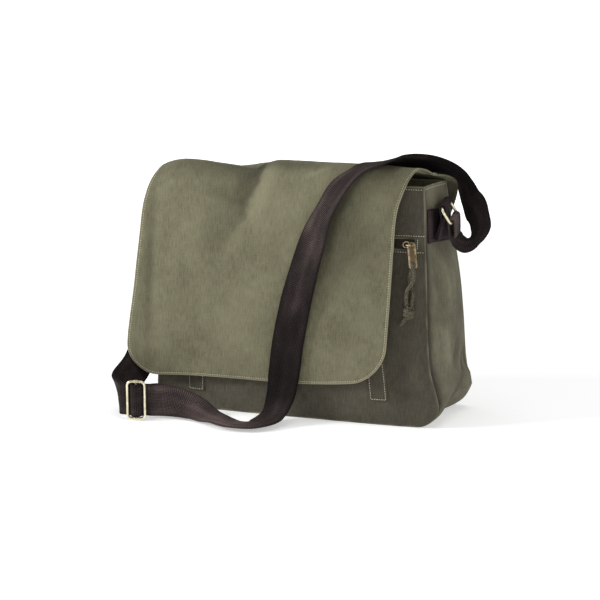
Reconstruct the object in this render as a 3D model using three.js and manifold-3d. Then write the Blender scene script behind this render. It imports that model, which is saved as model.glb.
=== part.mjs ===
// A canvas dispatch bag, standing on its base: an open-topped body sewn from a front panel, a back panel
// and one long gusset, a flap sewn to the back and hanging over the front, and a webbing shoulder strap.
// Millimetres. +X is the right of the bag seen from the front, +Y its back, +Z up, and the origin is the
// middle of the base on the ground.
import * as THREE from "three";
import { mergeVertices } from "three/addons/utils/BufferGeometryUtils.js";
import loadManifold from "manifold-3d";

const canvas = 1.6; // thickness of the body's cloth
const flapCloth = 2.2; // the flap is two layers, turned at the edge
const seat = 0.3; // clearance between pieces that touch
const webWidth = 40;
const webThick = 2;
const bodyHeight = 287;
const cornerRadius = 30; // lower corners of the front and back panels
const flapCorner = 42; // lower corners of the flap
const zip = { z: 219.5, left: -125, right: 147, window: 11.5 };
const zipTape = { height: 25, thick: 0.8 };
const zipChain = { height: 5, thick: 1.5, endGap: 3 };
const closureTape = { width: 22, height: 72, thick: 1 };
const sideBand = { bottom: 217, tilt: 6, thick: 2, endGap: 0.05, stand: 0.5 };
const ring = { inner: 46, depth: 20.5, wire: 1.75, corner: 5.5, z: 263 };
// How each ring lies: its place across the side (0 front, 1 back), hanging out from its tab, turned and rolled by
// the strap, its tab standing off the side.
const ringLie = {
  left: { side: -1, place: 0.58, hang: 0.72, turn: 0, roll: 0, stand: 0 },
  right: { side: 1, place: 0.46, hang: 0.55, turn: 0.26, roll: 0.12, stand: 4.5 },
};
const tab = { foot: 222, swell: 0.2 };
const slider = {
  place: [-173, -144], yaw: 0.184, height: 45.8, width: 21.2, wire: 1.7, corner: 5, bar: 1.5, collar: 2.3,
};
const zipSlider = { x: 141, half: 6, rise: 4.2, thick: 2.8, bailWidth: 8.6, bailReach: 6.6, bailWire: 1.7 };
const pull = { length: 31, width: 9, thick: 1.8, lean: 0.14, tilt: -0.29, hole: 2.6, cordHole: 2.7 };
const cordRadius = 2;

const cloth = (color) => new THREE.MeshStandardMaterial({ color, roughness: 0.95 });
const metal = (color) => new THREE.MeshStandardMaterial({ color, roughness: 0.32, metalness: 1 });
const olive = 0x7a7762;
const darkOlive = 0x6a6755;
const brown = 0x3a3031;
const paleBrass = 0xcdbd8e;
const oldBrass = 0x9a7d52;

// Body sections from the ground up: where the four upright seams stand, and how far each wall swells.
const bodySections = [
  {
    z: 0, leftFront: -184, rightFront: 186, leftBack: -191, rightBack: 193, front: -58, back: 57,
    swellFront: 9, swellBack: 3, swellSide: 0,
  },
  {
    z: 30, leftFront: -182, rightFront: 183, leftBack: -190, rightBack: 191, front: -58, back: 58,
    swellFront: 10, swellBack: 5, swellSide: 3,
  },
  {
    z: 70, leftFront: -180, rightFront: 172, leftBack: -188, rightBack: 186.5, front: -57, back: 55,
    swellFront: 10, swellBack: 6, swellSide: 6,
  },
  {
    z: 120, leftFront: -179, rightFront: 167, leftBack: -187, rightBack: 184, front: -54, back: 50,
    swellFront: 10, swellBack: 6, swellSide: 8,
  },
  {
    z: 170, leftFront: -179, rightFront: 164.5, leftBack: -187, rightBack: 180, front: -50, back: 45,
    swellFront: 10, swellBack: 5, swellSide: 6,
  },
  {
    z: 220, leftFront: -180, rightFront: 160.5, leftBack: -188, rightBack: 173, front: -44, back: 39,
    swellFront: 9, swellBack: 4, swellSide: 0,
  },
  {
    z: 260, leftFront: -180, rightFront: 158, leftBack: -188, rightBack: 168, front: -38, back: 32,
    swellFront: 6, swellBack: 0.6, swellSide: -2,
  },
  {
    z: bodyHeight, leftFront: -180, rightFront: 155, leftBack: -188, rightBack: 165, front: -33, back: 28,
    swellFront: 3, swellBack: 0.3, swellSide: -2,
  },
];

// Folds of the gusset: place round the strip's depth (0 front, 1 back), height, reach of each, push outwards.
const gussetFolds = [
  { side: 1, across: 0.55, z: 14, halfAcross: 0.24, halfZ: 20, out: -11 },
  { side: 1, across: 0.95, z: 36, halfAcross: 0.16, halfZ: 13, out: 5 },
  { side: 1, across: 0.86, z: 62, halfAcross: 0.14, halfZ: 12, out: -4 },
  { side: 1, across: 0.3, z: 190, halfAcross: 0.16, halfZ: 40, out: -4 },
  { side: -1, across: 0.55, z: 16, halfAcross: 0.26, halfZ: 22, out: -7 },
  { side: -1, across: 0.5, z: 200, halfAcross: 0.2, halfZ: 50, out: -4 },
];

// Flap sections, along the cloth from its lower edge in front, over the top, to the seam at the back. leftBend
// is how late its height turns to zLeft.
const flapSections = [
  { along: 0, y: -77, z: 45, zLeft: 37, zRight: 58, left: -214, right: 120, leftBend: 3 },
  { along: 45, y: -76, z: 90, zLeft: 83, zRight: 100, left: -214, right: 122.5, leftBend: 3 },
  { along: 105, y: -71.5, z: 150, zLeft: 146, zRight: 154, left: -207, right: 125, leftBend: 3 },
  { along: 166, y: -63, z: 210, zLeft: 208, zRight: 211, left: -202, right: 126, leftBend: 3 },
  { along: 212, y: -54, z: 255, zLeft: 253, zRight: 255, left: -199, right: 127, leftBend: 3 },
  { along: 243, y: -46, z: 285, zLeft: 278, zRight: 285, left: -193, right: 134.5, leftBend: 5 },
  { along: 264, y: -36, z: 303, zLeft: 291, zRight: 302, left: -187, right: 142.5, leftBend: 8 },
  { along: 276, y: -24, z: 308, zLeft: 297, zRight: 306, left: -184, right: 149, leftBend: 8 },
  { along: 296, y: -4, z: 304, zLeft: 296, zRight: 297.5, left: -180, right: 160, leftBend: 8 },
  { along: 318, y: 18, z: 298.5, zLeft: 293, zRight: 293.5, left: -177, right: 169, leftBend: 5 },
  { along: 334, y: 33, z: 292.5, zLeft: 288, zRight: 286.5, left: -176, right: 176, leftBend: 4 },
  { along: 352, y: 39, z: 278, zLeft: 273, zRight: 271, left: -176, right: 176, leftBend: 3 },
  { along: 387, y: 38.2, z: 245, zLeft: 244, zRight: 243, left: -176, right: 168, leftBend: 3 },
];

// Dents of the flap: place across and along the cloth, reach to each side and along, sideways lean, and depth
// (below 0 for a ridge).
const flapDents = [
  { x: -92, along: 304, left: 85, right: 22, halfLength: 26, lean: -0.6, depth: 9 },
  { x: -64, along: 270, left: 70, right: 10, halfLength: 15, lean: 0.3, depth: 8 },
  { x: -52, along: 243, left: 36, right: 10, halfLength: 44, lean: 0.22, depth: 3.9 },
  { x: -106, along: 226, left: 34, right: 26, halfLength: 34, lean: 0.15, depth: -6.5 },
  { x: -190, along: 115, left: 11, right: 11, halfLength: 110, lean: 0.06, depth: 3 },
  { x: -160, along: 130, left: 22, right: 22, halfLength: 120, lean: 0, depth: -2.5 },
  { x: 62, along: 22, left: 24, right: 24, halfLength: 26, lean: 0, depth: 3 },
  { x: 118, along: 292, left: 14, right: 26, halfLength: 12, lean: 0, depth: -2.4 },
];

// Route of the shoulder strap, from under the right ring over the top, down the front and along the ground.
// x, y, z is the middle of the webbing and ax, ay, az points across it.
const strapRoute = [
  { x: 188, y: -2, z: 220.5, ax: -0.05, ay: -0.97, az: -0.2 },
  { x: 195.5, y: 2, z: 215.5, ax: 0.05, ay: -0.95, az: -0.3 },
  { x: 203.5, y: 6, z: 216.5, ax: 0.1, ay: -0.96, az: -0.26 },
  { x: 210, y: 10.5, z: 223, ax: 0.5, ay: -0.85, az: -0.1 },
  { x: 212, y: 15, z: 234, ax: 0.75, ay: -0.65, az: 0 },
  { x: 207, y: 19, z: 249, ax: 0.83, ay: -0.55, az: 0.02 },
  { x: 195.5, y: 29, z: 266, ax: 0.78, ay: -0.6, az: 0.16 },
  { x: 186, y: 31, z: 285, ax: 0.64, ay: -0.7, az: 0.28 },
  { x: 173, y: 23, z: 299.6, ax: 0.47, ay: -0.75, az: 0.46 },
  { x: 151, y: 14, z: 307.8, ax: 0.32, ay: -0.74, az: 0.59 },
  { x: 127, y: 2, z: 312, ax: 0.3, ay: -0.77, az: 0.54 },
  { x: 111, y: -13, z: 314.2, ax: 0.38, ay: -0.83, az: 0.36 },
  { x: 96, y: -40, z: 313.2, ax: 0.43, ay: -0.9, az: 0.02 },
  { x: 79.5, y: -61, z: 306, ax: 0.49, ay: -0.87, az: -0.08 },
  { x: 60.5, y: -71.5, z: 287, ax: 0.66, ay: -0.72, az: -0.2 },
  { x: 43.5, y: -76, z: 256, ax: 0.66, ay: -0.68, az: -0.32 },
  { x: 32, y: -76, z: 228, ax: 0.84, ay: -0.44, az: -0.32 },
  { x: 20, y: -76, z: 190, ax: 0.93, ay: -0.28, az: -0.24 },
  { x: 8.5, y: -78, z: 143.5, ax: 0.985, ay: -0.08, az: -0.16 },
  { x: 0, y: -81.5, z: 95, ax: 0.99, ay: 0, az: -0.13 },
  { x: -4.5, y: -84, z: 55, ax: 0.99, ay: -0.05, az: -0.12 },
  { x: -7, y: -89, z: 30, ax: 0.93, ay: -0.3, az: -0.2 },
  { x: -11.5, y: -104, z: 10.5, ax: 0.75, ay: -0.64, az: -0.1 },
  { x: -26, y: -129, z: 4.2, ax: 0.5, ay: -0.86, az: 0.06 },
  { x: -50, y: -134, z: 4, ax: 0.1, ay: -0.99, az: 0.09 },
  { x: -72, y: -123, z: 3.8, ax: -0.25, ay: -0.96, az: 0.08 },
  { x: -91, y: -113, z: 4.2, ax: -0.2, ay: -0.97, az: -0.1 },
  { x: -111, y: -107.5, z: 11, ax: 0, ay: -0.88, az: -0.48 },
  { x: -132, y: -109, z: 16.8, ax: 0, ay: -0.69, az: -0.72 },
  { x: -149, y: -118, z: 21.2, ax: 0, ay: -0.45, az: -0.89 },
];

// The strap beyond its slider, turning back and up to the left ring.
const strapTail = [
  { x: -195.5, y: -140.5, z: 25.5, ax: 0.14, ay: -0.12, az: -0.98 },
  { x: -204.5, y: -127, z: 27, ax: 0.3, ay: -0.2, az: -0.93 },
  { x: -209, y: -104, z: 33, ax: 0.5, ay: -0.02, az: -0.86 },
  { x: -206, y: -68, z: 49, ax: 0.54, ay: 0.27, az: -0.8 },
  { x: -205, y: -38, z: 82, ax: 0.45, ay: 0.6, az: -0.66 },
  { x: -205, y: -17, z: 128, ax: 0.25, ay: 0.92, az: -0.3 },
  { x: -205, y: -4, z: 176, ax: 0.08, ay: 0.99, az: -0.1 },
  { x: -205, y: 2.5, z: 222, ax: 0, ay: 1, az: 0 },
];

// The strap over the slider: place along it from the bar, and lift in front of the frame.
const sliderWeave = [
  { along: 16, lift: -4.6 },
  { along: 10.6, lift: -3.8 },
  { along: 7, lift: -1.4 },
  { along: 5.4, lift: 1.4 },
  { along: 3.6, lift: 4.2 },
  { along: 0, lift: 5.6 },
  { along: -3.6, lift: 4.2 },
  { along: -5.4, lift: 1.4 },
  { along: -7, lift: -1.4 },
  { along: -10.6, lift: -3.8 },
  { along: -16, lift: -4.6 },
];

// The cord through the pull tab: from the knot up one strand, through the tab's hole and down the other.
const pullCordRoute = [
  { x: 143.5, y: -63.4, z: 147.7 },
  { x: 142.5, y: -63, z: 157.1 },
  { x: 143.5, y: -63.4, z: 166.3 },
  { x: 149.2, y: -64.6, z: 175 },
  { x: 152.4, y: -65.8, z: 184.4 },
  { x: 151.2, y: -65.7, z: 193.4 },
  { x: 150, y: -63.1, z: 197.7 },
  { x: 149.1, y: -58.8, z: 198.2 },
  { x: 148, y: -55.4, z: 195.6 },
  { x: 146, y: -54.8, z: 190.4 },
  { x: 144.2, y: -55.6, z: 181 },
  { x: 145.8, y: -57.4, z: 172.7 },
  { x: 149.4, y: -58.8, z: 165.2 },
  { x: 149.5, y: -59.8, z: 156.9 },
  { x: 148.1, y: -61.4, z: 147.7 },
];
const pullKnot = { x: 146.2, y: -64.5, z: 140.2, radius: 6.8, half: 7.6, tail: [-9.9, -1.5, -15] };

// Value of a table's column at a place: a cubic through the rows, with slopes from their neighbours.
function tableAt(rows, key, column, at) {
  let i = 0;
  while (i < rows.length - 2 && at > rows[i + 1][key]) i += 1;
  const slope = (k) => {
    const before = rows[Math.max(k - 1, 0)];
    const after = rows[Math.min(k + 1, rows.length - 1)];
    return (after[column] - before[column]) / (after[key] - before[key]);
  };
  const span = rows[i + 1][key] - rows[i][key];
  const t = (at - rows[i][key]) / span;
  const bend = t * t * (3 - 2 * t);
  const rise = t * (1 - t) * ((1 - t) * slope(i) - t * slope(i + 1)) * span;
  return rows[i][column] * (1 - bend) + rows[i + 1][column] * bend + rise;
}

// How far a rounded corner draws the edge in, at a distance from the end of the edge.
function cornerInset(radius, distance) {
  const left = Math.min(Math.max(radius - distance, 0), radius);
  return radius - Math.sqrt(radius * radius - left * left);
}

// count + 1 even places from start to end
function evenly(start, end, count) {
  return Array.from({ length: count + 1 }, (_, i) => start + ((end - start) * i) / count);
}

// Places along a rounded corner, then even ones up to the end.
function cornerThenEven(radius, end, cornerSteps, evenSteps) {
  const corner = evenly(0, Math.PI / 2, cornerSteps).map((angle) => radius * (1 - Math.cos(angle)));
  return [...corner, ...evenly(radius, end, evenSteps).slice(1)];
}

// Geometry of a closed solid from its points and triangles.
function solid(positions, index) {
  const geometry = new THREE.BufferGeometry();
  geometry.setAttribute("position", new THREE.Float32BufferAttribute(positions, 3));
  geometry.setIndex(index);
  geometry.computeVertexNormals();
  return geometry;
}

// A closed cloth wall on the grid us by vs, with one face the distance front before the surface and the other
// the distance back behind it. trim draws the edges of the grid in, where the cloth is cut to a curve.
function clothWall(surface, us, vs, front, back, trim = (u) => u) {
  const step = 1e-3;
  const columns = us.length;
  const positions = [];
  const index = [];
  const point = (u, v) => new THREE.Vector3(...surface(u, v));
  for (const offset of [front, -back]) {
    for (const v of vs) {
      for (const u of us.map((each) => trim(each, v))) {
        const across = point(u + step, v).sub(point(u - step, v));
        const along = point(u, v + step).sub(point(u, v - step));
        const normal = across.cross(along).normalize();
        positions.push(...point(u, v).addScaledVector(normal, offset).toArray());
      }
    }
  }
  const layer = columns * vs.length;
  const quad = (a, b, c, d) => index.push(a, b, c, a, c, d);
  for (let j = 0; j < vs.length - 1; j += 1) {
    for (let i = 0; i < columns - 1; i += 1) {
      const a = j * columns + i;
      quad(a, a + 1, a + 1 + columns, a + columns);
      quad(layer + a, layer + a + columns, layer + a + 1 + columns, layer + a + 1);
    }
  }
  for (let i = 0; i < columns - 1; i += 1) {
    const top = (vs.length - 1) * columns + i;
    quad(i, layer + i, layer + i + 1, i + 1);
    quad(top, top + 1, layer + top + 1, layer + top);
  }
  for (let j = 0; j < vs.length - 1; j += 1) {
    const left = j * columns;
    const right = left + columns - 1;
    quad(left, left + columns, layer + left + columns, layer + left);
    quad(right, layer + right, layer + right + columns, right + columns);
  }
  return solid(positions, index);
}

// Webbing carried along rows of places, each with a direction across it: its middle, the direction across it
// and its normal at t, from 0 to 1.
function webbing(rows) {
  const places = rows.map((row) => new THREE.Vector3(row.x, row.y, row.z));
  const curve = new THREE.CatmullRomCurve3(places, false, "centripetal");
  const spans = rows.length - 1;
  const acrossRow = (i) => new THREE.Vector3(rows[i].ax, rows[i].ay, rows[i].az).normalize();
  return (at) => {
    const t = THREE.MathUtils.clamp(at, 0, 1);
    const i = Math.min(Math.floor(t * spans), spans - 1);
    const across = acrossRow(i).lerp(acrossRow(i + 1), t * spans - i);
    const tangent = curve.getTangent(t);
    across.addScaledVector(tangent, -across.dot(tangent)).normalize();
    return { middle: curve.getPoint(t), across, normal: across.clone().cross(tangent) };
  };
}
function ribbon(rows, steps) {
  const web = webbing(rows);
  const surface = (u, v) => {
    const { middle, across } = web(v);
    return middle.addScaledVector(across, (u * webWidth) / 2).toArray();
  };
  return clothWall(surface, [-1, 1], evenly(0, 1, (rows.length - 1) * steps), webThick / 2, webThick / 2);
}

// A round wire bent to a closed rounded rectangle in the XY plane, centred on the origin.
function wireLoop(width, height, corner, radius) {
  const sides = 8;
  const cornerSteps = 4;
  const loop = [];
  [[1, 1], [-1, 1], [-1, -1], [1, -1]].forEach(([sx, sy], i) => {
    for (const angle of evenly((i * Math.PI) / 2, ((i + 1) * Math.PI) / 2, cornerSteps)) {
      const x = sx * (width / 2 - corner) + Math.cos(angle) * corner;
      const y = sy * (height / 2 - corner) + Math.sin(angle) * corner;
      loop.push({ x, y, angle });
    }
  });
  const positions = [];
  const index = [];
  loop.forEach(({ x, y, angle }, i) => {
    const next = ((i + 1) % loop.length) * sides;
    for (let k = 0; k < sides; k += 1) {
      const turn = (k * 2 * Math.PI) / sides;
      const out = Math.cos(turn) * radius;
      positions.push(x + Math.cos(angle) * out, y + Math.sin(angle) * out, Math.sin(turn) * radius);
      const a = i * sides + k;
      const b = i * sides + ((k + 1) % sides);
      index.push(a, next + k, next + ((k + 1) % sides), a, next + ((k + 1) % sides), b);
    }
  });
  return solid(positions, index);
}

const wasm = await loadManifold();
wasm.setup();

// A closed geometry as a manifold solid, and back.
function toManifold(geometry) {
  const bare = geometry.clone();
  bare.deleteAttribute("normal");
  bare.deleteAttribute("uv");
  const merged = mergeVertices(bare, 1e-4);
  const vertProperties = new Float32Array(merged.attributes.position.array);
  const triVerts = new Uint32Array(merged.index.array);
  return new wasm.Manifold(new wasm.Mesh({ numProp: 3, vertProperties, triVerts }));
}
function fromManifold(shape) {
  const mesh = shape.getMesh();
  return solid(Array.from(mesh.vertProperties), Array.from(mesh.triVerts));
}

// The body: surfaces of the front and back panels by place across (-1 left, 1 right) and height.
function panelPoint(face, e, z) {
  const at = (column) => tableAt(bodySections, "z", column, z);
  const left = at(`left${face}`);
  const right = at(`right${face}`);
  const swell = at(`swell${face}`) * (1 - e ** 4);
  const y = face === "Front" ? at("front") - swell : at("back") + swell;
  return [(left + right) / 2 + (e * (right - left)) / 2, y, z];
}
function panelTrim(face) {
  return (u, z) => {
    const half = (panelPoint(face, 1, z)[0] - panelPoint(face, -1, z)[0]) / 2;
    return u * (1 - cornerInset(cornerRadius, z) / half);
  };
}

// A point of the gusset at a station of the panels' outline, by place from front (0) to back (1).
function gussetPoint(u, z, across) {
  const front = panelPoint("Front", panelTrim("Front")(u, z), z);
  const back = panelPoint("Back", panelTrim("Back")(u, z), z);
  const gap = canvas + 2 * seat;
  const side = Math.abs(u) === 1 ? Math.sign(u) : 0;
  let out = tableAt(bodySections, "z", "swellSide", z) * Math.sin(Math.PI * across);
  for (const fold of gussetFolds) {
    const da = (across - fold.across) / fold.halfAcross;
    const dz = (z - fold.z) / fold.halfZ;
    if (fold.side === side) out += fold.out * Math.exp(-da * da - dz * dz);
  }
  const lerp = THREE.MathUtils.lerp;
  return [lerp(front[0], back[0], across) + side * out, lerp(front[1] + gap, back[1] - gap, across), z];
}

// Stations round the outline, down the left side, under the base and up the right side.
const sideHeights = cornerThenEven(cornerRadius, bodyHeight, 5, 11);
const baseStations = evenly(-1, 1, 12).slice(1, -1);
const gussetStations = [
  ...sideHeights.toReversed().map((z) => ({ u: -1, z })),
  ...baseStations.map((u) => ({ u, z: 0 })),
  ...sideHeights.map((z) => ({ u: 1, z })),
];
function gussetSurface(across, station) {
  const place = THREE.MathUtils.clamp(station, 0, gussetStations.length - 1);
  const i = Math.min(Math.floor(place), gussetStations.length - 2);
  const from = gussetStations[i];
  const to = gussetStations[i + 1];
  const start = new THREE.Vector3(...gussetPoint(from.u, from.z, across));
  const end = new THREE.Vector3(...gussetPoint(to.u, to.z, across));
  return start.lerp(end, place - i).toArray();
}

// The flap's surface by place across (-1 left, 1 right) and distance along the cloth.
function flapPoint(e, along) {
  const at = (column) => tableAt(flapSections, "along", column, along);
  const x = (at("left") + at("right")) / 2 + (e * (at("right") - at("left"))) / 2;
  const end = e < 0 ? at("zLeft") : at("zRight");
  const slope = (column) =>
    tableAt(flapSections, "along", column, along + 0.5) - tableAt(flapSections, "along", column, along - 0.5);
  const [dy, dz] = [slope("y"), slope("z")];
  const length = Math.hypot(dy, dz);
  let push = 0;
  for (const dent of flapDents) {
    const da = (along - dent.along) / dent.halfLength;
    const beside = x - dent.x - dent.lean * (along - dent.along);
    const dx = beside / (beside < 0 ? dent.left : dent.right);
    push -= dent.depth * Math.exp(-da * da - dx * dx);
  }
  const z = at("z") + (end - at("z")) * Math.abs(e) ** (e < 0 ? at("leftBend") : 3);
  return [x, at("y") - (push * dz) / length, z + (push * dy) / length];
}
function flapTrim(u, along) {
  const half = (flapPoint(1, along)[0] - flapPoint(-1, along)[0]) / 2;
  return u * (1 - cornerInset(flapCorner, along) / half);
}

// Axes of the hardware on one side: where it sits, outwards from the gusset, across it from front to back, and
// the way square to that. lean is the share of the ring's own turn and roll that they take.
function sideFrame({ side, place, turn, roll }, z, lean) {
  const [front, back] = [0, 1].map((w) => new THREE.Vector3(...gussetPoint(side, z, w)));
  const at = front.clone().lerp(back, place);
  const across = back.sub(front).setZ(0).normalize();
  const outward = new THREE.Vector3(across.y, -across.x, 0).multiplyScalar(side);
  across.applyAxisAngle(new THREE.Vector3(0, 0, 1), turn * lean);
  const square = new THREE.Vector3(across.y, -across.x, 0).multiplyScalar(side);
  across.setZ(Math.sin(roll * lean)).normalize();
  return { at, outward, across, square };
}
const foldRadius = ring.wire + 2.7 * seat + webThick / 2;
const legInner = sideBand.stand + sideBand.thick + seat + webThick / 2 + tab.swell;
const legOuter = legInner + webThick + seat;

// The middles of a ring's upper and lower bars, with its axes.
function ringBars(lie) {
  const { at, outward, across, square } = sideFrame(lie, ring.z, 1);
  const upper = at.setZ(ring.z).addScaledVector(outward, legInner + foldRadius - 1 + lie.stand);
  const down = outward.multiplyScalar(Math.sin(lie.hang)).setZ(-Math.cos(lie.hang));
  down.addScaledVector(across, -down.dot(across)).normalize();
  return { upper, lower: upper.clone().addScaledVector(down, ring.depth), down, across, square };
}

// A row of webbing at a place, moved off along a direction and up.
function webRow(place, direction, off, rise, across) {
  const p = place.clone().addScaledVector(direction, off);
  return { x: p.x, y: p.y, z: p.z + rise, ax: across.x, ay: across.y, az: across.z };
}

// Rows of webbing folded over a bar, from its outer side to its inner side.
function foldRows(bar, { square, across }) {
  return evenly(0, Math.PI, 4).map((angle) =>
    webRow(bar, square, foldRadius * Math.cos(angle), foldRadius * Math.sin(angle), across),
  );
}
function ringTab(lie) {
  const bars = ringBars(lie);
  const heights = [tab.foot, (tab.foot + ring.z) / 2 - 6, ring.z - 14];
  const leg = (out) => heights.map((z, i) => {
    const { at, outward, across } = sideFrame(lie, z, i / 2);
    return webRow(at, outward, out + (lie.stand * i) / 2, 0, across);
  });
  return ribbon([...leg(legOuter), ...foldRows(bars.upper, bars), ...leg(legInner).toReversed()], 2);
}
function ringLoop(lie) {
  const geometry = wireLoop(ring.inner + 2 * ring.wire, ring.depth, ring.corner, ring.wire);
  const { upper, lower, down, across } = ringBars(lie);
  const axes = new THREE.Matrix4().makeBasis(across, down.clone().negate(), down.clone().cross(across));
  return geometry.applyMatrix4(axes.setPosition(upper.lerp(lower, 0.5)));
}

// The slider's axes: along the strap, towards the viewer of its front, and up.
const sliderAlong = new THREE.Vector3(-Math.cos(slider.yaw), -Math.sin(slider.yaw), 0);
const sliderFront = new THREE.Vector3(Math.sin(slider.yaw), -Math.cos(slider.yaw), 0);
const sliderMiddle = new THREE.Vector3(...slider.place, slider.height / 2 + slider.collar);
function sliderRow(along, lift) {
  const p = sliderMiddle.clone().addScaledVector(sliderAlong, -along).addScaledVector(sliderFront, lift);
  return { x: p.x, y: p.y, z: p.z, ax: 0, ay: 0, az: -1 };
}
const flipped = (row) => ({ ...row, ax: -row.ax, ay: -row.ay, az: -row.az });
const rightBars = ringBars(ringLie.right);
const underRight = (off, rise) => webRow(rightBars.lower, rightBars.square, off, rise, rightBars.across);
const cutEnd = [underRight(foldRadius + 0.8, -20), underRight(foldRadius + 0.8, -10)];
const rightLeg = [underRight(0.4 - foldRadius, -9), underRight(2.4 - foldRadius, -18)];
const leftBars = ringBars(ringLie.left);
const leftFold = foldRows(leftBars.lower, leftBars);
const leftEnd = { ...leftFold.at(-1), z: leftBars.lower.z - 4 };
const mainRows = [
  ...[...cutEnd, ...foldRows(rightBars.lower, rightBars), ...rightLeg].map(flipped),
  ...strapRoute,
  ...sliderWeave.map(({ along, lift }) => sliderRow(along, lift)),
  ...strapTail,
  ...leftFold,
  leftEnd,
];

// The return layer lies behind the tail of the strap and hooks round the slider's bar.
function returnRows() {
  const web = webbing(mainRows);
  const first = mainRows.indexOf(strapTail[0]);
  const last = mainRows.indexOf(strapTail.at(-1));
  const behind = evenly(first, last, 2 * (last - first)).map((row) => {
    const { middle, across, normal } = web(row / (mainRows.length - 1));
    const { x, y, z } = middle.addScaledVector(normal, webThick + 4 * seat);
    return { x, y, z, ax: across.x, ay: across.y, az: across.z };
  });
  const hook = slider.bar + seat + webThick / 2;
  const bend = evenly(Math.PI / 2, -Math.PI / 2, 8).map((angle) =>
    sliderRow(hook * Math.cos(angle), hook * Math.sin(angle)),
  );
  const end = { ...leftEnd, z: leftEnd.z - 11 * seat };
  return [...bend, sliderRow(-7, -5.2), sliderRow(-13, -8), ...behind, end];
}

// The front panel's outer face at a place x, z, set back by depth.
function onFront(x, z, depth) {
  const left = panelPoint("Front", -1, z)[0];
  const right = panelPoint("Front", 1, z)[0];
  const [, y] = panelPoint("Front", (2 * x - left - right) / (right - left), z);
  return [x, y + depth, z];
}
function frontPanel() {
  const surface = (e, z) => panelPoint("Front", e, z);
  const wall = clothWall(surface, evenly(-1, 1, 18), sideHeights, 0, canvas, panelTrim("Front"));
  const width = zip.right - zip.left;
  const window = new THREE.BoxGeometry(width, 80, zip.window).translate(zip.left + width / 2, -60, zip.z);
  return fromManifold(toManifold(wall).subtract(toManifold(window)));
}

// A strip along the zip, centred on it, with its outer face at a depth behind the panel's outer face.
function zipStrip({ height, thick }, overlap, depth) {
  const xs = evenly(zip.left - overlap, zip.right + overlap, 20);
  return clothWall((x, z) => onFront(x, z, depth), xs, [zip.z - height / 2, zip.z + height / 2], 0, thick);
}
function closureStrip({ x, bottom, lean }) {
  const surface = (u, v) => {
    const rise = v * closureTape.height;
    return onFront(x + (u * closureTape.width) / 2 - lean * rise, bottom + rise, -seat);
  };
  return clothWall(surface, [-1, 0, 1], evenly(0, 1, 5), closureTape.thick, 0);
}
function webBand(side) {
  const { bottom, tilt, endGap, stand, thick } = sideBand;
  const surface = (u, v) => {
    const across = THREE.MathUtils.lerp(endGap, 1 - endGap, side > 0 ? u : 1 - u);
    return gussetPoint(side, bottom + v * webWidth + tilt * (0.5 - across), across);
  };
  return clothWall(surface, evenly(0, 1, 6), evenly(0, 1, 4), stand + thick, -stand);
}

// The zip's slider: a tapered plate with a flat bail standing out in front of it.
function sliderBody() {
  const { half, rise, thick, bailWidth, bailReach, bailWire } = zipSlider;
  const outline = [[-1, -0.7], [-0.5, -1], [0.8, -1], [1, -0.7], [1, 0.7], [0.8, 1], [-0.5, 1], [-1, 0.7]];
  const plate = new THREE.Shape(outline.map(([x, z]) => new THREE.Vector2(x * half, z * rise)));
  const body = new THREE.ExtrudeGeometry(plate, { depth: thick, bevelEnabled: false });
  body.rotateX(Math.PI / 2).translate(0, -seat, 0);
  const [outer, inner] = [bailWidth / 2, bailWidth / 2 - bailWire];
  const arch = [[-outer, 0.5], [-outer, -bailReach], [outer, -bailReach], [outer, 0.5], [inner, 0.5]];
  arch.push([inner, bailWire - bailReach], [-inner, bailWire - bailReach], [-inner, 0.5]);
  const bail = new THREE.ExtrudeGeometry(new THREE.Shape(arch.map(([x, y]) => new THREE.Vector2(x, y))), {
    depth: bailWire,
    bevelEnabled: false,
  });
  bail.translate(0, -seat - thick, -bailWire / 2);
  return fromManifold(toManifold(body).add(toManifold(bail)));
}

// The pull tab: a plate with an eye for the bail on the origin, and a hole for the cord at its foot.
const pullFoot = pull.width / 2 - pull.length;
function pullTab() {
  const half = pull.width / 2;
  const round = 2.5;
  const plate = new THREE.Shape();
  plate.absarc(0, 0, half, 0, Math.PI);
  plate.absarc(round - half, pullFoot + round, round, Math.PI, 1.5 * Math.PI);
  plate.absarc(half - round, pullFoot + round, round, 1.5 * Math.PI, 2 * Math.PI);
  for (const [y, radius] of [[0, pull.hole], [pullFoot + 5, pull.cordHole]]) {
    plate.holes.push(new THREE.Path().absarc(0, y, radius, 0, 2 * Math.PI, true));
  }
  const extrusion = { depth: pull.thick, bevelEnabled: false, curveSegments: 6 };
  return new THREE.ExtrudeGeometry(plate, extrusion).translate(0, 0, -pull.thick / 2).rotateX(Math.PI / 2);
}
function circle(radius, sides) {
  const point = (turn) => new THREE.Vector2(radius * Math.cos(turn), radius * Math.sin(turn));
  return new THREE.Shape(evenly(0, 2 * Math.PI, sides).slice(0, -1).map(point));
}
function cordAlong(route) {
  const path = new THREE.CatmullRomCurve3(route.map(({ x, y, z }) => new THREE.Vector3(x, y, z)));
  return new THREE.ExtrudeGeometry(circle(cordRadius, 8), { steps: 40, extrudePath: path, curveSegments: 8 });
}
function cordKnot() {
  const { x, y, z, radius, half, tail } = pullKnot;
  const profile = evenly(-Math.PI / 2, Math.PI / 2, 6).map(
    (angle) => new THREE.Vector2(Math.cos(angle) * radius, Math.sin(angle) * half),
  );
  profile[0].x = 0;
  profile.at(-1).x = 0;
  const bulb = new THREE.LatheGeometry(profile, 10).rotateX(Math.PI / 2);
  const end = new THREE.LineCurve3(new THREE.Vector3(0, 0, 0), new THREE.Vector3(...tail));
  const strand = new THREE.ExtrudeGeometry(circle(cordRadius, 8), { steps: 2, extrudePath: end });
  return fromManifold(toManifold(bulb).add(toManifold(strand))).translate(x, y, z);
}
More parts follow.
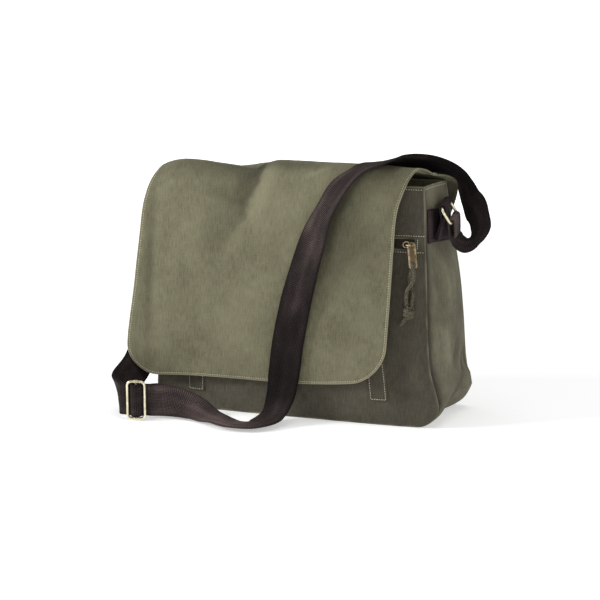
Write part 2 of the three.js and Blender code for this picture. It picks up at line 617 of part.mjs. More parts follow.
function strapFrame() {
  const loop = wireLoop(slider.width, slider.height, slider.corner, slider.wire);
  const bar = new THREE.CylinderGeometry(slider.bar, slider.bar, slider.height, 10);
  let frame = toManifold(loop).add(toManifold(bar));
  for (const end of [-1, 1]) {
    const collar = new THREE.CylinderGeometry(slider.collar, slider.collar, 5, 12).rotateZ(Math.PI / 2);
    frame = frame.add(toManifold(collar.translate(0, (end * slider.height) / 2, 0)));
  }
  return fromManifold(frame);
}

const bag = new THREE.Group();
function add(name, geometry, material, parent = bag) {
  const mesh = new THREE.Mesh(geometry, material);
  mesh.name = name;
  parent.add(mesh);
  return mesh;
}

add("front_panel", frontPanel(), cloth(darkOlive));
const backSurface = (e, z) => panelPoint("Back", -e, z);
const backWall = clothWall(backSurface, evenly(-1, 1, 16), sideHeights, 0, canvas, panelTrim("Back"));
add("back_panel", backWall, cloth(olive));
const stationNumbers = [...gussetStations.keys()];
add("gusset", clothWall(gussetSurface, evenly(0, 1, 8), stationNumbers, 0, canvas), cloth(darkOlive));
const flapRows = cornerThenEven(flapCorner, flapSections.at(-1).along, 4, 24);
const flapWall = clothWall(flapPoint, evenly(-1, 1, 24), flapRows, flapCloth / 2, flapCloth / 2, flapTrim);
add("flap", flapWall, cloth(olive));
add("closure_tape_left", closureStrip({ x: -126, bottom: 23, lean: 0 }), cloth(darkOlive));
add("closure_tape_right", closureStrip({ x: 111, bottom: 30, lean: 0.13 }), cloth(darkOlive));

add("zip_tape", zipStrip(zipTape, 6, canvas + seat), cloth(darkOlive));
add("zip_chain", zipStrip(zipChain, -zipChain.endGap, canvas - zipChain.thick), metal(oldBrass));
const zipPlace = new THREE.Group();
const [yLeft, yRight] = [-0.5, 0.5].map((step) => onFront(zipSlider.x + step, zip.z, 0)[1]);
zipPlace.position.set(...onFront(zipSlider.x, zip.z, 0));
zipPlace.rotation.z = Math.atan(yRight - yLeft);
bag.add(zipPlace);
add("zip_slider", sliderBody(), metal(oldBrass), zipPlace);
const tabMesh = add("zip_pull", pullTab(), metal(oldBrass), zipPlace);
const bailLeg = (zipSlider.bailWidth - zipSlider.bailWire) / 2;
const tabStand = seat + zipSlider.thick + (zipSlider.bailReach - zipSlider.bailWire + 0.9) / 2;
tabMesh.position.set(bailLeg, -tabStand, zipSlider.bailWire - pull.hole);
tabMesh.rotation.set(pull.tilt, -pull.lean, 0);
add("pull_cord", cordAlong(pullCordRoute), cloth(brown));
add("pull_knot", cordKnot(), cloth(brown));

for (const [name, lie] of Object.entries(ringLie)) {
  add(`side_band_${name}`, webBand(lie.side), cloth(brown));
  add(`ring_tab_${name}`, ringTab(lie), cloth(brown));
  add(`ring_${name}`, ringLoop(lie), metal(paleBrass));
}
add("shoulder_strap", ribbon(mainRows, 2), cloth(brown));
add("strap_return", ribbon(returnRows(), 1), cloth(brown));
const frameMesh = add("strap_slider", strapFrame(), metal(paleBrass));
frameMesh.position.copy(sliderMiddle);
frameMesh.rotation.set(Math.PI / 2, 0, slider.yaw, "ZXY");

export default bag;
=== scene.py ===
import bpy
import numpy as np
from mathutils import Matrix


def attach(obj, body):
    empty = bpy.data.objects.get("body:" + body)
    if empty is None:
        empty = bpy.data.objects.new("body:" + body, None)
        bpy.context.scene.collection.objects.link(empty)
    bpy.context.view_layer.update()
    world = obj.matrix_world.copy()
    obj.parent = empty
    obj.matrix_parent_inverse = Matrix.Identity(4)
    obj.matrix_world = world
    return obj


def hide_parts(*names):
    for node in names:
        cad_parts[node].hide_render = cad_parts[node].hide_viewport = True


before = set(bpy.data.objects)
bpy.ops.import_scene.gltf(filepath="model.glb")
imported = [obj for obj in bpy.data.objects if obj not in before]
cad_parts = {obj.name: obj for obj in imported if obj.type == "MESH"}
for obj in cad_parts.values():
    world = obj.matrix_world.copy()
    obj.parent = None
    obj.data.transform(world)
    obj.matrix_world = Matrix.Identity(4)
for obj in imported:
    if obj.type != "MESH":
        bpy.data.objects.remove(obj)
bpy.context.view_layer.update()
mm = 0.001


# Shader sockets that take Python's operators, and one method that makes any other node
class Wire:
    def __init__(self, tree, socket=None):
        self.tree, self.socket = tree, socket

    def make(self, kind, settings=None, inputs=None, output=0):
        node = self.tree.nodes.new("ShaderNode" + kind)
        for name, value in (settings or {}).items():
            if name == "stops":
                ramp = node.color_ramp.elements
                while len(ramp) < len(value):
                    ramp.new(0.5)
                for stop, (place, colour) in zip(ramp, value):
                    stop.position, stop.color = place, (*colour, 1)
            else:
                setattr(node, name, value)
        for name, value in (inputs or {}).items():
            if isinstance(value, Wire):
                self.tree.links.new(value.socket, node.inputs[name])
            else:
                node.inputs[name].default_value = value
        return Wire(self.tree, node.outputs[output])

    def output(self, index):
        return Wire(self.tree, self.socket.node.outputs[index])

    def maths(self, operation, first, second=0.0):
        return self.make("Math", {"operation": operation}, {0: first, 1: second})

    def vector(self, operation, second, output=0):
        return self.make("VectorMath", {"operation": operation}, {0: self, 1: second}, output)

    def __add__(self, other): return self.maths("ADD", self, other)
    def __radd__(self, other): return self.maths("ADD", other, self)
    def __sub__(self, other): return self.maths("SUBTRACT", self, other)
    def __rsub__(self, other): return self.maths("SUBTRACT", other, self)
    def __mul__(self, other): return self.maths("MULTIPLY", self, other)
    def __rmul__(self, other): return self.maths("MULTIPLY", other, self)

    def sine(self): return self.maths("SINE", self)
    def step(self, low, high):  # 0 below low, 1 above high, smooth between
        return self.make("MapRange", {"interpolation_type": "SMOOTHSTEP"}, {0: self, 1: low, 2: high})

    def blend(self, first, second):  # colour mix by this factor
        colour = lambda c: c if isinstance(c, Wire) else (*c, 1)
        return self.make("Mix", {"data_type": "RGBA"}, {0: self, 6: colour(first), 7: colour(second)}, 2)

    def scaled(self, factor):  # a colour made darker or lighter
        return self.make("VectorMath", {"operation": "SCALE"}, {0: self, "Scale": factor})

    def noise(self, stretch, detail=3.0, rough=0.55):  # noise over this coordinate, stretched per axis
        place = self.vector("MULTIPLY", stretch)
        return self.make("TexNoise", {}, {"Vector": place, "Scale": 1.0, "Detail": detail, "Roughness": rough})

    def bump(self, strength, distance):  # this height as a normal
        return self.make("Bump", {}, {"Strength": strength, "Distance": distance, "Height": self})

    def mark(self, name):  # a value that the mesh carries at each point
        return self.make("Attribute", {"attribute_name": name}, output=2)

    def cloth(self):  # the cloth's own coordinates in metres, and the two of them apart
        uv = self.make("UVMap", {"uv_map": "cloth"})
        x = self.make("SeparateXYZ", {}, {0: uv})
        return uv, x, x.output(1)


def newFinish(name, **fixed):  # a material with its shader's constant values set on the sockets
    material = bpy.data.materials.new(name)
    material.use_nodes = True
    shader = material.node_tree.nodes["Principled BSDF"]
    for socket, value in fixed.items():
        shader.inputs[socket.replace("_", " ")].default_value = value
    return material, shader, Wire(material.node_tree)


def wireUp(shader, **links):
    for socket, wire in links.items():
        shader.id_data.links.new(wire.socket, shader.inputs[socket.replace("_", " ")])


def tone(colour):  # a colour given as it looks on screen, 0 to 255, as linear light
    c = np.array(colour) / 255
    return tuple(np.where(c <= 0.04045, c / 12.92, ((c + 0.055) / 1.055) ** 2.4))


def canvasFinish(name, low, mid, high, edge):  # washed canvas: slubs, mottling, worn hems, ridges lighter than hollows (their wear, and painted light and shade)
    material, shader, w = newFinish(name, Roughness=0.95, Specular_IOR_Level=0.1, Sheen_Weight=0.04,
                                    Sheen_Roughness=0.6)
    uv, x, y = w.cloth()
    weave = (x * 5400).sine() * (y * 5400).sine()
    slubAcross, slubAlong = uv.noise((60, 900, 1), 2), uv.noise((620, 90, 1), 2)
    grain = uv.noise((780, 780, 1), 2, 0.7)
    mottle = uv.noise((22, 22, 1), 5, 0.62)
    cloud = uv.noise((75, 60, 1), 3, 0.6)
    shade = mottle * 0.26 + cloud * 0.28 + slubAcross * 0.14 + slubAlong * 0.46 + grain * 0.5
    # rise lightens raised cloth and darkens hollows: partly the ridges' wear, partly painted light and shade
    body = (shade + w.mark("rise") * 0.16 - 0.32).step(0.05, 0.95)
    stops = [(0.08, tone(low)), (0.5, tone(mid)), (0.92, tone(high))]
    tint = uv.noise((120, 70, 1), 5, 0.65).step(0.3, 0.7).blend((0.98, 1.01, 0.98), (1.02, 0.99, 1.0))
    cloth = w.make("ValToRGB", {"stops": stops}, {0: body}).vector("MULTIPLY", tint)
    worn = (w.mark("hem") * (0.65 + grain * 0.5)).step(0.35, 1.0)
    height = weave * 0.1 + slubAcross * 0.2 + slubAlong * 0.45 + grain * 0.35 + cloud * 0.5
    # the mark shade scales the colour with the painted light and shade set on each piece
    wireUp(shader, Base_Color=worn.blend(cloth, tone(edge)).scaled(w.mark("shade")), Normal=height.bump(0.55, 0.0011))
    return material


def webbingFinish(name, dark, light):  # herringbone webbing: fine light points on dark brown
    material, shader, w = newFinish(name, Roughness=0.9, Specular_IOR_Level=0.12)
    uv, x, y = w.cloth()
    across, along = x * 1750, y * 1500
    points = ((across + along).sine() * (across - along).sine()).step(0.2, 0.9)
    grain = uv.noise((700, 700, 1), 2, 0.7)
    patch = uv.noise((60, 25, 1), 3)
    # rise is lighter where the webbing rises and darker at the selvedges: their own darker edge and painted shade
    amount = (points * 0.32 + grain * 0.6 + patch * 0.45 + w.mark("rise") * 0.5 - 0.41).step(0.0, 1.0)
    ribs = (y * 2600).sine() * 0.25 + points + grain * 0.4
    # the mark shade scales the colour with painted light and shade along the strap
    wireUp(shader, Base_Color=amount.blend(tone(dark), tone(light)).scaled(w.mark("shade")),
           Normal=ribs.bump(0.38, 0.0006))
    return material


def threadFinish(name, dark, light):  # cotton with a fine mottling of its fibres
    material, shader, w = newFinish(name, Roughness=0.85, Specular_IOR_Level=0.25)
    fibres = w.make("TexCoord", output=3).noise((900, 900, 900), 2)
    wireUp(shader, Base_Color=fibres.step(0.3, 0.7).blend(tone(dark), tone(light)))
    return material


def brassFinish(name, shadeAndLightPatches, bright, rough, axis=None):  # brass with a cloudy tarnish and fine scratches
    material, shader, w = newFinish(name, Metallic=1.0)
    place = w.make("TexCoord", output=3)
    cloud = place.noise((180, 180, 180), 4, 0.6)
    scratch = place.noise((2400, 300, 2400), 2, 0.6)
    colour = cloud.step(0.3, 0.7).blend(tone(shadeAndLightPatches), tone(bright))
    if axis:  # a tarnished middle and rubbed edges, by the distance across from a line through a point
        middle, across, near, far = axis
        off = place.vector("SUBTRACT", middle).vector("DOT_PRODUCT", across, 1)
        colour = off.maths("ABSOLUTE", off).step(near, far).blend(tone(shadeAndLightPatches), colour)
    wireUp(shader, Base_Color=colour, Roughness=rough + cloud * 0.16 + scratch * 0.1,
           Normal=(cloud + scratch * 0.5).bump(0.12, 0.0004))
    return material


# Camera at the photograph's viewing angle, white floor and soft studio light
shot = {"azimuth": 19.4, "elevation": 12.0, "distance": 2.404, "lens": 116.04, "target": (-0.013, 0, 0.1317)}
studio = {"world": 0.29, "wall": 1.05, "floorTone": 0.9, "nearGlow": 0.42, "lights": {
    "keyLight": {"power": 47, "size": 0.7, "place": (-2.2, -1.17, 1.24)},
    "fillLight": {"power": 14, "size": 1.2, "place": (2.4, -1.0, 1.3)},
    "topLight": {"power": 16, "size": 1.6, "place": (0.2, 0.1, 2.4)}}}


def aim(obj, place, target):  # turns an object's -Z axis from its place to a target
    way = np.array(target) - np.array(place)
    obj.location = place
    obj.rotation_euler = (np.arctan2(np.hypot(way[0], way[1]), -way[2]), 0, np.arctan2(-way[0], way[1]))


def areaLight(name, power, size, place):
    light = bpy.data.lights.new(name, "AREA")
    light.energy, light.size = power, size
    obj = bpy.data.objects.new(name, light)
    bpy.context.collection.objects.link(obj)
    aim(obj, place, (0, 0, 0.12))


def setStage():
    a, e = np.radians(shot["azimuth"]), np.radians(shot["elevation"])
    away = np.array([np.sin(a) * np.cos(e), -np.cos(a) * np.cos(e), np.sin(e)])
    camera = bpy.data.objects.new("camera", bpy.data.cameras.new("camera"))
    camera.data.lens, camera.data.sensor_width, camera.data.clip_end = shot["lens"], 36, 50
    bpy.context.collection.objects.link(camera)
    bpy.context.scene.camera = camera
    aim(camera, tuple(np.array(shot["target"]) + away * shot["distance"]), shot["target"])
    for name, light in studio["lights"].items():
        areaLight(name, **light)
    world = bpy.data.worlds.new("studio")
    bpy.context.scene.world = world
    world.use_nodes = True
    w = Wire(world.node_tree)
    dim, white = (w.make("Background", {}, {"Color": (1, 1, 1, 1), "Strength": studio[k]}) for k in ("world", "wall"))
    sky = w.make("MixShader", {}, {0: w.make("LightPath"), 1: dim, 2: white})  # a white wall behind, a dimmer room
    world.node_tree.links.new(sky.socket, world.node_tree.nodes["World Output"].inputs["Surface"])
    bpy.context.scene.view_settings.view_transform = "Standard"
    mesh = bpy.data.meshes.new("floor")
    corners = np.array([[-1, -1], [1, -1], [1, 1], [-1, 1]]) * 9
    mesh.from_pydata(np.c_[corners, np.full(4, -0.0004)].tolist(), [], [[0, 1, 2, 3]])
    floor = bpy.data.objects.new("floor", mesh)
    bpy.context.collection.objects.link(floor)
    paper, shader, w = newFinish("paperWhite", Roughness=1.0, Specular_IOR_Level=0.0, Emission_Strength=1.0)
    place = w.make("TexCoord", output=3)
    grain = place.noise((3, 3, 3))
    reach = w.make("VectorMath", {"operation": "LENGTH"}, {0: place}, 1).step(0.5, 2.2)
    wireUp(shader, Base_Color=grain.blend((studio["floorTone"],) * 3, (studio["floorTone"] + 0.02,) * 3),
           Emission_Color=reach.blend((studio["nearGlow"],) * 3, (1, 1, 1)))  # the floor fades to white further off
    floor.data.materials.append(paper)


setStage()
print("stage set")

flapCanvas = canvasFinish("flapCanvas", (91, 88, 69), (119, 116, 94), (137, 134, 109), (158, 153, 126))
bodyCanvas = canvasFinish("bodyCanvas", (78, 75, 62), (104, 101, 84), (126, 123, 103), (152, 148, 124))
# the body's canvas made darker for the front panel: painted shade, as the panel lies in the flap's shadow
shadedFrontCanvas = canvasFinish("shadedFrontCanvas", (62, 58, 51), (79, 75, 65), (94, 90, 78), (124, 118, 101))
brownWebbing = webbingFinish("brownWebbing", (30, 25, 25), (112, 98, 95))
plumWebbing = webbingFinish("plumWebbing", (44, 34, 36), (114, 96, 98))
zipWeave = webbingFinish("zipWeave", (46, 43, 38), (92, 86, 76))
paleThread = threadFinish("paleThread", (176, 171, 148), (224, 219, 196))
brownThread = threadFinish("brownThread", (66, 54, 54), (108, 92, 92))
oliveCord = threadFinish("oliveCord", (42, 39, 31), (110, 105, 86))
paleBrass = brassFinish("paleBrass", (212, 202, 166), (248, 242, 214), 0.22)
oldBrass = brassFinish("oldBrass", (156, 136, 104), (228, 210, 172), 0.28)
darkBrass = brassFinish("darkBrass", (46, 41, 34), (84, 75, 60), 0.45)
print("finishes made")

# Numbers and tables of the cut, in millimetres, as the solids have them
cut = {"canvas": 1.6, "flapCloth": 2.2, "seat": 0.3, "webWidth": 40.0, "webThick": 2.0, "bodyHeight": 287.0,
       "corner": 30.0, "flapCorner": 42.0}


def table(header, rows):  # a table's columns by name
    return dict(zip(header.split(), np.array(rows, float).T))


bodySections = table("z leftFront rightFront leftBack rightBack front back swellFront swellBack swellSide", [
    (0, -184, 186, -191, 193, -58, 57, 9, 3, 0), (30, -182, 183, -190, 191, -58, 58, 10, 5, 3),
    (70, -180, 172, -188, 186.5, -57, 55, 10, 6, 6), (120, -179, 167, -187, 184, -54, 50, 10, 6, 8),
    (170, -179, 164.5, -187, 180, -50, 45, 10, 5, 6), (220, -180, 160.5, -188, 173, -44, 39, 9, 4, 0),
    (260, -180, 158, -188, 168, -38, 32, 6, 0.6, -2), (287, -180, 155, -188, 165, -33, 28, 3, 0.3, -2)])
gussetFolds = [  # side, across, z, half across, half z, out
    (1, 0.55, 14, 0.24, 20, -11), (1, 0.95, 36, 0.16, 13, 5), (1, 0.86, 62, 0.14, 12, -4),
    (1, 0.3, 190, 0.16, 40, -4), (-1, 0.55, 16, 0.26, 22, -7), (-1, 0.5, 200, 0.2, 50, -4)]
flapSections = table("along y z zLeft zRight left right leftBend", [
    (0, -77, 45, 37, 58, -214, 120, 3), (45, -76, 90, 83, 100, -214, 122.5, 3),
    (105, -71.5, 150, 146, 154, -207, 125, 3), (166, -63, 210, 208, 211, -202, 126, 3),
    (212, -54, 255, 253, 255, -199, 127, 3), (243, -46, 285, 278, 285, -193, 134.5, 5),
    (264, -36, 303, 291, 302, -187, 142.5, 8), (276, -24, 308, 297, 306, -184, 149, 8),
    (296, -4, 304, 296, 297.5, -180, 160, 8), (318, 18, 298.5, 293, 293.5, -177, 169, 5),
    (334, 33, 292.5, 288, 286.5, -176, 176, 4), (352, 39, 278, 273, 271, -176, 176, 3),
    (387, 38.2, 245, 244, 243, -176, 168, 3)])
flapDents = [  # x, along, half to the left, half to the right, half along, lean, depth; the last is only here
    (-92, 304, 85, 22, 26, -0.6, 9), (-64, 270, 70, 10, 15, 0.3, 8), (-52, 243, 36, 10, 44, 0.22, 3.9),
    (-106, 226, 34, 26, 34, 0.15, -6.5), (-190, 115, 11, 11, 110, 0.06, 3), (-160, 130, 22, 22, 120, 0, -2.5),
    (62, 22, 24, 24, 26, 0, 3), (118, 292, 14, 26, 12, 0, -2.4), (101, 286, 9, 9, 8, 0, -1.5)]


def tableAt(columns, key, column, at):  # cubic through the rows, with slopes from each row's neighbours
    keys, values = columns[key], columns[column]
    last = len(keys) - 1
    below, above = np.maximum(np.arange(last + 1) - 1, 0), np.minimum(np.arange(last + 1) + 1, last)
    slope = (values[above] - values[below]) / (keys[above] - keys[below])
    i = np.clip(np.searchsorted(keys, at) - 1, 0, last - 1)
    span = keys[i + 1] - keys[i]
    t = (at - keys[i]) / span
    bend = t * t * (3 - 2 * t)
    rise = t * (1 - t) * ((1 - t) * slope[i] - t * slope[i + 1]) * span
    return values[i] * (1 - bend) + values[i + 1] * bend + rise


def bodyAt(column, z): return tableAt(bodySections, "z", column, z)
def flapAt(column, along): return tableAt(flapSections, "along", column, along)
def span(left, right): return (left + right) / 2, (right - left) / 2  # middle and half width


def cornerInset(radius, distance):  # radius - sqrt(radius^2 - left^2), left being the rest of the corner
    left = np.clip(radius - distance, 0, radius)
    return radius - np.sqrt(radius ** 2 - left ** 2)


def unit(vectors):
    return vectors / np.linalg.norm(vectors, axis=-1, keepdims=True)


def bell(t):  # exp(-t^2)
    return np.exp(-t * t)


def smooth(t):  # 3t^2 - 2t^3 between 0 and 1
    t = np.clip(t, 0, 1)
    return t * t * (3 - 2 * t)


def softNoise(x, y, seed):  # seeded lattice of values from -1 to 1, blended smoothly between its points
    lattice = np.random.default_rng(seed).random((64, 64)) * 2 - 1
    i, j = np.floor(x).astype(int), np.floor(y).astype(int)
    sx, sy = smooth(x - i), smooth(y - j)
    low, high = (lattice[i % 64, k % 64] * (1 - sx) + lattice[(i + 1) % 64, k % 64] * sx for k in (j, j + 1))
    return low * (1 - sy) + high * sy


def creases(x, y, marks):  # each mark is a soft ridge or valley along a line: height * bell(off / half) * ends
    total = np.zeros(np.broadcast(x, y).shape)
    for x0, y0, x1, y1, half, height in marks:
        length = np.hypot(x1 - x0, y1 - y0)
        along = ((x - x0) * (x1 - x0) + (y - y0) * (y1 - y0)) / length
        off = ((x - x0) * (y1 - y0) - (y - y0) * (x1 - x0)) / length
        ends = smooth(along / (0.35 * length)) * smooth((length - along) / (0.35 * length))
        total = total + height * bell(off / half) * ends
    return total


def normalsOf(surface, u, v, du, dv):  # cross product of the surface's two central differences
    return unit(np.cross(surface(u + du, v) - surface(u - du, v), surface(u, v + dv) - surface(u, v - dv)))


def gridNormals(points):  # the same on a grid of points
    return unit(np.cross(np.gradient(points, axis=1), np.gradient(points, axis=0)))


def bothFaces(middle, normals, thick):  # a cloth's two faces, half its thickness to each side
    half = normals * (thick / 2)[..., None]
    return middle + half, middle - half


def edgeLines(start, end, step, near=(0, 0.35, 0.9, 1.8, 3, 4.5, 6.2)):  # even lines, closer at both ends
    near = np.array(near)
    count = max(int((end - start - 2 * near[-1]) / step), 2)
    return np.r_[start + near, np.linspace(start + near[-1], end - near[-1], count + 1)[1:-1], end - near[::-1]]


def risingLines(corner, steps, end, step):  # lines round a lower corner by its turn, then even ones up to the end
    return np.r_[corner * (1 - np.cos(np.linspace(0, np.pi / 2, steps))), edgeLines(corner, end, step)[8:]]


def edgeDistance(offset, half, rise, height, corner):  # distance inside a plate with rounded lower corners
    qx, qz = offset - (half - corner), corner - rise
    plain = np.minimum(half - offset, rise)
    return np.minimum(np.where((qx > 0) & (qz > 0), corner - np.hypot(qx, qz), plain), height - rise)


def stripDistance(u, width, v, height):  # distance inside a strip, from shares 0 to 1 across and up it
    return np.minimum(np.minimum(u, 1 - u) * width, np.minimum(v, 1 - v) * height)


def rounding(distance, reach):  # quarter circle from 0 at a cut edge to 1 at reach: sqrt(1 - (1 - d/reach)^2)
    return np.sqrt(np.clip(1 - (1 - np.clip(distance / reach, 0, 1)) ** 2, 0, 1))


def closedWall(outer, inner, keep=None):  # two grids joined at their rims and round the cells left out
    rows, columns = outer.shape[:2]
    layer = rows * columns
    keep = np.ones((rows - 1, columns - 1), bool) if keep is None else keep
    grid = np.arange(layer).reshape(rows, columns)
    j, i = np.nonzero(keep)
    a, b, c, d = grid[j, i], grid[j, i + 1], grid[j + 1, i + 1], grid[j + 1, i]
    faces = [np.stack([a, b, c, d], 1), np.stack([a, d, c, b], 1) + layer]
    cell = np.pad(keep, 1)
    upper, lower = cell[1:, 1:-1], cell[:-1, 1:-1]
    after, before = cell[1:-1, 1:], cell[1:-1, :-1]
    for edge, dj, di, forward in ((upper & ~lower, 0, 1, False), (lower & ~upper, 0, 1, True),
                                  (after & ~before, 1, 0, True), (before & ~after, 1, 0, False)):
        j, i = np.nonzero(edge)
        p, q = grid[j, i], grid[j + dj, i + di]
        faces.append(np.stack([p, q, q + layer, p + layer] if forward else [p, p + layer, q + layer, q], 1))
    used, faces = np.unique(np.concatenate(faces), return_inverse=True)
    points = np.concatenate([outer.reshape(-1, 3), inner.reshape(-1, 3)])
    return points[used], faces.reshape(-1, 4).tolist(), used % layer, used >= layer


def addPiece(name, points, faces, finish, slotName, replaced=(), uv=None, marks=None):
    mesh = bpy.data.meshes.new(name)
    mesh.from_pydata((points * mm).tolist(), [], faces)
    if uv is not None:
        corners = np.empty(len(mesh.loops), int)
        mesh.loops.foreach_get("vertex_index", corners)
        mesh.uv_layers.new(name="cloth").data.foreach_set("uv", (uv * mm)[corners].astype(np.float32).ravel())
    for key, values in (marks or {}).items():
        mesh.attributes.new(key, "FLOAT", "POINT").data.foreach_set("value", values.astype(np.float32))
    mesh.polygons.foreach_set("use_smooth", np.ones(len(mesh.polygons), bool))
    mesh.materials.append(finish)
    mesh.update()
    obj = bpy.data.objects.new(name, mesh)
    bpy.context.collection.objects.link(obj)
    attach(obj, "root")
    if replaced:
        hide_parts(*replaced)
    return obj


def addCloth(name, outer, inner, finish, slotName, replaced, uv, rise, hem, keep=None, shade=None, innerShade=1.0):
    # rise, hem and shade are given for each grid point; shade scales the colour with painted light and shade,
    # innerShade does so for the inner side
    points, faces, used, within = closedWall(outer, inner, keep)
    shade = np.ones(rise.size) if shade is None else shade
    marks = {"rise": rise.ravel()[used], "hem": hem.ravel()[used],
             "shade": np.where(within, (innerShade + 0 * rise).ravel()[used], shade.ravel()[used])}
    return addPiece(name, points, faces, finish, slotName, replaced, np.stack(uv, -1).reshape(-1, 2)[used], marks)


def circle(radius, sides):
    turn = np.arange(sides) * 2 * np.pi / sides
    return np.stack([np.cos(turn), np.sin(turn)], -1) * radius


def tubeFaces(shape, closed=False):  # quads between the rings of one or more tubes, and flat ends unless closed
    grid = np.arange(np.prod(shape)).reshape(-1, *shape[-2:])
    rings = np.concatenate([grid, grid[:, :1]], 1) if closed else grid
    turned = np.roll(rings, -1, 2)
    quads = np.stack([rings[:, :-1], turned[:, :-1], turned[:, 1:], rings[:, 1:]], -1).reshape(-1, 4).tolist()
    return quads if closed else quads + grid[:, 0, ::-1].tolist() + grid[:, -1].tolist()


def sideAndUp(tangent, reference):  # side = reference x tangent, up = tangent x side
    side = unit(np.cross(reference, tangent))
    return side, np.cross(tangent, side)


def sweep(path, profile, reference, closed=False):  # each profile point (a, b) stands at path + a * side + b * up
    step = np.roll(path, -1, 0) - np.roll(path, 1, 0) if closed else np.gradient(path, axis=0)
    side, up = sideAndUp(unit(step), reference)
    profile = np.broadcast_to(profile, (len(path),) + profile.shape[-2:])
    points = path[:, None] + profile[..., :1] * side[:, None] + profile[..., 1:] * up[:, None]
    return points.reshape(-1, 3), tubeFaces(points.shape[:2], closed)


def joined(*parts):  # several meshes as one list of points and faces
    points, faces, count = [], [], 0
    for each, some in parts:
        points.append(each)
        faces += [[k + count for k in face] for face in some]
        count += len(each)
    return np.concatenate(points), faces


def reachOf(path):  # length along a path up to each of its points
    return np.r_[0, np.cumsum(np.linalg.norm(np.diff(path, axis=0), axis=1))]


thread = {"pitch": 3.0, "length": 2.1, "radius": 0.42, "sides": 6}


def stitchRow(path, normals, pitch=thread["pitch"]):
    # capsules along the path: radius * sqrt(1 - t^4) round the thread, lifted by the parabola 1 - t^2
    length, radius, reach = thread["length"], thread["radius"], reachOf(path)
    count = max(int(round(reach[-1] / pitch)), 1)
    centres = (np.arange(count) + 0.5) * reach[-1] / count
    at = lambda s, values: np.stack([np.interp(s, reach, values[:, k]) for k in range(3)], -1)
    start, end = at(centres - length / 2, path), at(centres + length / 2, path)
    along = unit(end - start)
    up = at(centres, normals)
    up = unit(up - along * np.sum(up * along, -1, keepdims=True))
    side = np.cross(up, along)
    t = np.array([-1, -0.86, -0.35, 0.35, 0.86, 1])
    thick = radius * np.sqrt(np.maximum(1 - t ** 4, 0.03))[:, None]
    lift = radius * (0.75 * (1 - t * t) - 0.35)[:, None]
    ring = circle(1.0, thread["sides"])
    place = ((start + end) / 2)[:, None, None] + along[:, None, None] * (t * length / 2)[:, None, None]
    points = (place + side[:, None, None] * (thick * ring[:, 0])[None, :, :, None]
              + up[:, None, None] * (thick * ring[:, 1] + lift)[None, :, :, None])
    return points.reshape(-1, 3), tubeFaces(points.shape[:3])


print("tools ready")

# Pull cord: the route of the solids, in millimetres, as a cord of three twisted strands with its knot
cordWork = {"radius": 2.0, "lay": 1.1, "strand": 1.45, "turn": 10.5, "steps": 170}
pullCordRoute = np.array([
    (143.5, -63.4, 147.7), (142.5, -63, 157.1), (143.5, -63.4, 166.3), (149.2, -64.6, 175), (152.4, -65.8, 184.4),
    (151.2, -65.7, 193.4), (150, -63.1, 197.7), (149.1, -58.8, 198.2), (148, -55.4, 195.6), (146, -54.8, 190.4),
    (144.2, -55.6, 181), (145.8, -57.4, 172.7), (149.4, -58.8, 165.2), (149.5, -59.8, 156.9), (148.1, -61.4, 147.7)])
knotWork = {"middle": (146.2, -64.5, 140.2), "radius": 4.5, "half": 5.0, "turns": 2.4, "strand": 2.7, "core": 3.0,
            "tailStart": (0, 0, -3.5), "tail": (-9.9, -1.5, -15)}


def splineAt(points, t, values=None):
    # centripetal Catmull-Rom through the points: knots spaced by the root of each span, t from 0 to 1
    values = points if values is None else values
    ends = lambda p: np.concatenate([2 * p[:1] - p[1:2], p, 2 * p[-1:] - p[-2:-1]])
    p, f = ends(points), ends(values)
    root = np.sqrt(np.linalg.norm(np.diff(p, axis=0), axis=1))
    place = np.clip(t, 0, 1) * (len(points) - 1)
    i = np.minimum(place.astype(int), len(points) - 2)
    w = (place - i)[:, None]
    d0, d1, d2 = (root[i + k][:, None] for k in range(3))
    f0, f1, f2, f3 = (f[i + k] for k in range(4))
    t1 = ((f1 - f0) / d0 - (f2 - f0) / (d0 + d1) + (f2 - f1) / d1) * d1
    t2 = ((f2 - f1) / d1 - (f3 - f1) / (d1 + d2) + (f3 - f2) / d2) * d1
    return f1 + t1 * w + (3 * (f2 - f1) - 2 * t1 - t2) * w ** 2 + (2 * (f1 - f2) + t1 + t2) * w ** 3


def twisted(path, reference):  # three strands wound round the path at the lay's radius, one turn each turn's length
    side, up = sideAndUp(unit(np.gradient(path, axis=0)), reference)
    strands = []
    for k in range(3):
        angle = 2 * np.pi * (reachOf(path) / cordWork["turn"] + k / 3)[:, None]
        wound = path + cordWork["lay"] * (np.cos(angle) * side + np.sin(angle) * up)
        strands.append(sweep(wound, circle(cordWork["strand"], 8), reference))
    return joined(*strands)


def makeCord():
    path = splineAt(pullCordRoute, np.linspace(0, 1, cordWork["steps"]))
    cord = addPiece("pullCord", *twisted(path, (1, 0, 0)), oliveCord, "cord", ["pull_cord"])
    k, middle = knotWork, np.array(knotWork["middle"])
    t = np.linspace(0, 1, 130)
    angle = 2 * np.pi * k["turns"] * t
    spread = k["radius"] * (0.72 + 0.28 * np.sin(np.pi * t))
    coil = middle + np.stack([spread * np.cos(angle), spread * np.sin(angle),
                              k["half"] * (1 - 2 * t) + 0.5 * np.sin(3 * angle)], -1)
    core = middle + np.stack([0 * t, 0 * t, k["half"] * 1.5 * (1 - 2 * t)], -1)
    t = np.linspace(0, 1, 30)
    start = np.array(k["tailStart"])
    tail = middle + start + (np.array(k["tail"]) - start) * t[:, None]
    tail = tail + np.stack([0 * t, 0.5 * np.sin(3 * t), 0 * t], -1)
    parts = [sweep(coil, circle(k["strand"], 10), (0, 0, 1)), sweep(core, circle(k["core"], 10), (1, 0, 0)),
             twisted(tail, (0, 1, 0))]
    knot = addPiece("pullKnot", *joined(*parts), oliveCord, "cord", ["pull_knot"])
    [tuple(p * mm) for p in path]


makeCord()

